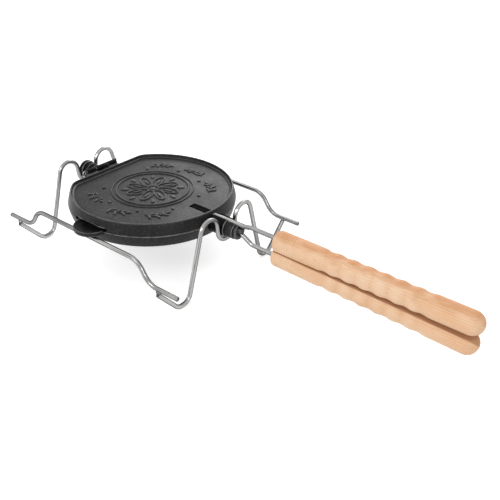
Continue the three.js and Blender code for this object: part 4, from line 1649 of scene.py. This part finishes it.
@dataclass
class Stand:
    """The bent wire stand: two side rails welded across two cradles."""

    steel: bpy.types.Material
    wire_diameter: float = 5.2
    rail_y: float = 105.6
    rail_half_length: float = 141.6
    rail_high: float = -7.2
    rail_jog: float = 92.0
    rail_jog_run: float = 16.6
    rail_bend: float = 22.0
    front_x: float = 116.0
    back_x: float = -121.0
    saddle: tuple[float, float] = (12.9, -14.3)
    peak: tuple[float, float] = (22.4, 80.0)
    foot: tuple[float, float] = (67.5, -81.3)
    tip: tuple[float, float] = (109.2, -35.5)
    foot_depth: float = 67.2
    foot_sole: float = 3.0
    peak_bend: float = 14.0
    foot_bend: float = 12.6
    weld_gap: float = 0.2
    weld_touch: float = 2.7
    weld_half: tuple[float, float] = (3.3, 2.5)

    @property
    def leg_slope(self) -> float:
        """The slope of a cradle's outer leg."""
        return math.atan2(self.tip[1] - self.foot[1], self.tip[0] - self.foot[0])

    @property
    def rail_low(self) -> float:
        """The height of the rails' ends, where they lie on the cradles' legs."""
        rise = math.tan(self.leg_slope) * (self.rail_y - self.foot[0])
        return self.foot[1] + rise + (self.wire_diameter + self.weld_gap) / math.cos(self.leg_slope)

    def build(self) -> None:
        """Build and dress the rails, the cradles and the welds."""
        place = (Body.STAND, Slot.STEEL)
        for name, side in (("near", -1), ("far", 1)):
            dress(f"rail_{name}_wire", self._rail(side), self.steel, place, f"rail_{name}")
        for end, x in (("front", self.front_x), ("back", self.back_x)):
            dress(f"cradle_{end}_wire", self._cradle(x), self.steel, place, f"cradle_{end}")
            for name, side in (("near", -1), ("far", 1)):
                node = f"weld_{end}_{name}"
                dress(f"{node}_bead", self._weld(side, x), self.steel, place, node)

    def _rail(self, side: int) -> MeshData:
        """Shape one rail.

        Args:
            side: -1 for the near rail, 1 for the far one.

        Returns:
            Its shape.
        """
        inner, outer = self.rail_jog - self.rail_jog_run / 2, self.rail_jog + self.rail_jog_run / 2
        spots = ((-self.rail_half_length, self.rail_low), (-outer, self.rail_low), (-inner, self.rail_high),
                 (inner, self.rail_high), (outer, self.rail_low), (self.rail_half_length, self.rail_low))
        corners = [Vector((x, side * self.rail_y, z)) for x, z in spots]
        return BentWire(corners, [self.rail_bend] * 4, Vector((0, 1, 0)), self.wire_diameter).build()

    def _cradle(self, x: float) -> MeshData:
        """Shape one cradle: leg, foot, peak, saddle, peak, foot, leg.

        Args:
            x: Its place along X.

        Returns:
            Its shape.
        """
        def crossing(a: Spot, b: Spot) -> float:
            """Give where a line between two places reaches the sole's depth."""
            return a[0] + (b[0] - a[0]) * (-self.foot_depth - a[1]) / (b[1] - a[1])

        sole_in, sole_out = crossing(self.peak, self.foot), crossing(self.foot, self.tip)
        half = [self.saddle, self.peak, (sole_in, -self.foot_depth), (sole_out, -self.foot_depth), self.tip]
        corners = [Vector((x, -y, z)) for y, z in reversed(half)] + [Vector((x, y, z)) for y, z in half]
        inner_turn = math.atan2(self.peak[1] - self.foot[1], self.foot[0] - self.peak[0])
        room = (sole_out - sole_in - self.foot_sole) / (math.tan(inner_turn / 2) + math.tan(self.leg_slope / 2))
        foot = min(self.foot_bend, room)
        turn = math.atan2(self.peak[1] - self.saddle[1], self.peak[0] - self.saddle[0])
        saddle = (self.saddle[0] - 0.3) / math.tan(turn / 2)
        radii = [foot, foot, self.peak_bend, saddle, saddle, self.peak_bend, foot, foot]
        return BentWire(corners, radii, Vector((1, 0, 0)), self.wire_diameter).build()

    def _weld(self, side: int, x: float) -> MeshData:
        """Shape a weld: a short puddled bead in the notch between the two crossing wires.

        Args:
            side: -1 at the near rail, 1 at the far one.
            x: Its place along X.

        Returns:
            Its shape.
        """
        touch, (long, round_) = self.weld_touch, self.weld_half
        middle_y = side * (self.rail_y + touch * math.sin(self.leg_slope))
        middle_z = self.rail_low - touch * math.cos(self.leg_slope)
        rows = []
        for k in range(1, 14):
            angle = math.pi * k / 14
            ring = []
            for turn in angles(20):
                ripple = 1 + 0.06 * math.sin(5 * turn + 9 * angle) + 0.05 * math.sin(11 * angle)
                reach = round_ * ripple * math.sin(angle)
                y, z = middle_y + reach * math.cos(turn), middle_z + reach * math.sin(turn)
                ring.append(at(x - long * math.cos(angle), y, z))
            rows.append(ring)
        return loft(rows, [0.8] * len(rows))


# ---- studio ----


@dataclass
class Studio:
    """The pale floor, the soft lights, the white world and the camera."""

    azimuth_deg: float = 38.22
    elevation_deg: float = 30.90
    roll_deg: float = 1.23
    distance: float = 0.8389
    aside: float = 0.1167
    lift: float = -0.0650
    focal_px: float = 696.16
    frame_px: float = 500.0
    sensor_mm: float = 36.0
    floor_colour: Colour = (0.80, 0.80, 0.80, 1.0)
    floor_glow: float = 0.54
    floor_half: float = 6.0
    floor_z: float = -0.00015
    bright_side: tuple[float, float, float] = (-0.30, 0.80, 0.52)
    dim: float = 0.30
    bright: float = 0.9
    softboxes: tuple[tuple[str, tuple[float, float, float], float, float], ...] = (
        ("back_softbox", (-0.72, 1.32, 0.95), 1.1, 12.0),
        ("left_softbox", (-0.25, -1.15, 0.85), 0.5, 7.0),
        ("right_softbox", (1.15, -0.80, 0.75), 0.45, 4.0),
    )

    def build(self) -> None:
        """Build the whole studio: a broad softbox behind the object and weaker ones at its sides light it."""
        self._camera()
        self._floor()
        self._world()
        for softbox in self.softboxes:
            self._softbox(*softbox)

    def _camera(self) -> None:
        """Place the camera at the photograph's viewing angle."""
        a, e, r = (math.radians(v) for v in (self.azimuth_deg, self.elevation_deg, self.roll_deg))
        back = Vector((math.sin(a) * math.cos(e), -math.cos(a) * math.cos(e), math.sin(e)))
        right = Vector((math.cos(a), math.sin(a), 0.0))
        up = back.cross(right)
        right, up = right * math.cos(r) + up * math.sin(r), up * math.cos(r) - right * math.sin(r)
        data = bpy.data.cameras.new("camera")
        data.sensor_width = self.sensor_mm
        data.lens = self.sensor_mm * self.focal_px / self.frame_px
        data.clip_start, data.clip_end = 0.01, 50.0
        camera = bpy.data.objects.new("camera", data)
        place = Matrix((right, up, back)).transposed().to_4x4()
        place.translation = PLATE_CENTRE + back * self.distance + right * self.aside + up * self.lift
        camera.matrix_world = place
        bpy.context.scene.collection.objects.link(camera)
        bpy.context.scene.camera = camera

    def _floor(self) -> None:
        """Lay a white floor that keeps the object's soft shadow."""
        material = bpy.data.materials.new("floor_white")
        g = bare_graph(material)
        diffuse = g.add("ShaderNodeBsdfDiffuse", None, Color=self.floor_colour)
        glow = g.add("ShaderNodeEmission", None, Color=WHITE, Strength=self.floor_glow)
        both = g.add("ShaderNodeAddShader", None, in_0=diffuse.outputs[0], in_1=glow.outputs[0])
        shown = g.add("ShaderNodeMixShader", None, Fac=g.showing(), in_1=diffuse.outputs[0], in_2=both.outputs[0])
        g.add("ShaderNodeOutputMaterial", None, Surface=shown.outputs[0])
        mesh = bpy.data.meshes.new("floor")
        half, z = self.floor_half, self.floor_z
        mesh.from_pydata([(-half, -half, z), (half, -half, z), (half, half, z), (-half, half, z)], [], [(0, 1, 2, 3)])
        mesh.materials.append(material)
        floor = bpy.data.objects.new("floor", mesh)
        bpy.context.scene.collection.objects.link(floor)

    def _world(self) -> None:
        """Light the scene softly, brighter from behind and above than from the front, and show white behind it."""
        world = bpy.data.worlds.new("studio_white")
        bpy.context.scene.world = world
        g = bare_graph(world)
        way = g.add("ShaderNodeTexCoord").outputs["Generated"]
        behind = g.add("ShaderNodeVectorMath", {"operation": "DOT_PRODUCT"}, in_0=way, in_1=self.bright_side)
        strength = g.ramp(behind.outputs["Value"], -0.4, 0.6, self.dim, self.bright)
        soft = g.add("ShaderNodeBackground", None, Color=WHITE, Strength=strength)
        white = g.add("ShaderNodeBackground", None, Color=WHITE, Strength=1.0)
        mixed = g.add("ShaderNodeMixShader", None, Fac=g.showing(), in_1=soft.outputs[0], in_2=white.outputs[0])
        g.add("ShaderNodeOutputWorld", None, Surface=mixed.outputs[0])

    def _softbox(self, name: str, place: tuple[float, float, float], size: float, power: float) -> None:
        """Add one square area lamp that faces the object.

        Args:
            name: Its name.
            place: Where it hangs, in metres.
            size: Its side's length in metres.
            power: Its power in watts.
        """
        lamp = bpy.data.lights.new(name, "AREA")
        lamp.shape = "SQUARE"
        lamp.size = size
        lamp.energy = power
        obj = bpy.data.objects.new(name, lamp)
        obj.location = place
        obj.rotation_euler = (Vector((0, 0, 0.05)) - Vector(place)).to_track_quat("-Z", "Y").to_euler()
        bpy.context.scene.collection.objects.link(obj)


def main() -> None:
    """Build the studio and every sub-assembly over the CAD frame, and report each piece."""
    logging.basicConfig(level=logging.INFO, format="%(message)s")
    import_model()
    Studio().build()
    groups = Groups()
    iron = CastIronFinish().make(groups)
    # a darker copy of the cast iron for the hinge, the journals, the boss and the rear spool: painted shade, as these
    # parts sit in shade; fainter specks, less roughness and a lower IOR
    shaded_iron = CastIronFinish("painted_shade_iron", glint_speck=(0.014, 0.014, 0.0145, 1.0), roughness=0.34, ior=1.14).make(groups)
    steel = SteelFinish().make(groups)
    dark_root_colours = ((0.025, 0.025, 0.026, 1.0), (0.012, 0.012, 0.012, 1.0), (0.05, 0.05, 0.05, 1.0))
    dark_steel = SteelFinish("dark_root_steel", *dark_root_colours, roughness=0.5).make(groups)
    beech = BeechFinish().make()
    Stand(steel).build()
    casting = Casting(iron)
    LowerPlate(casting, shaded_iron).build()
    UpperPlate(casting).build()
    FaceOrnament(iron).build()
    Hinge(shaded_iron, steel).build()
    Handles(steel, dark_steel, beech).build()
    bpy.context.scene.view_settings.view_transform = "Standard"


if __name__ == "__main__":
    main()
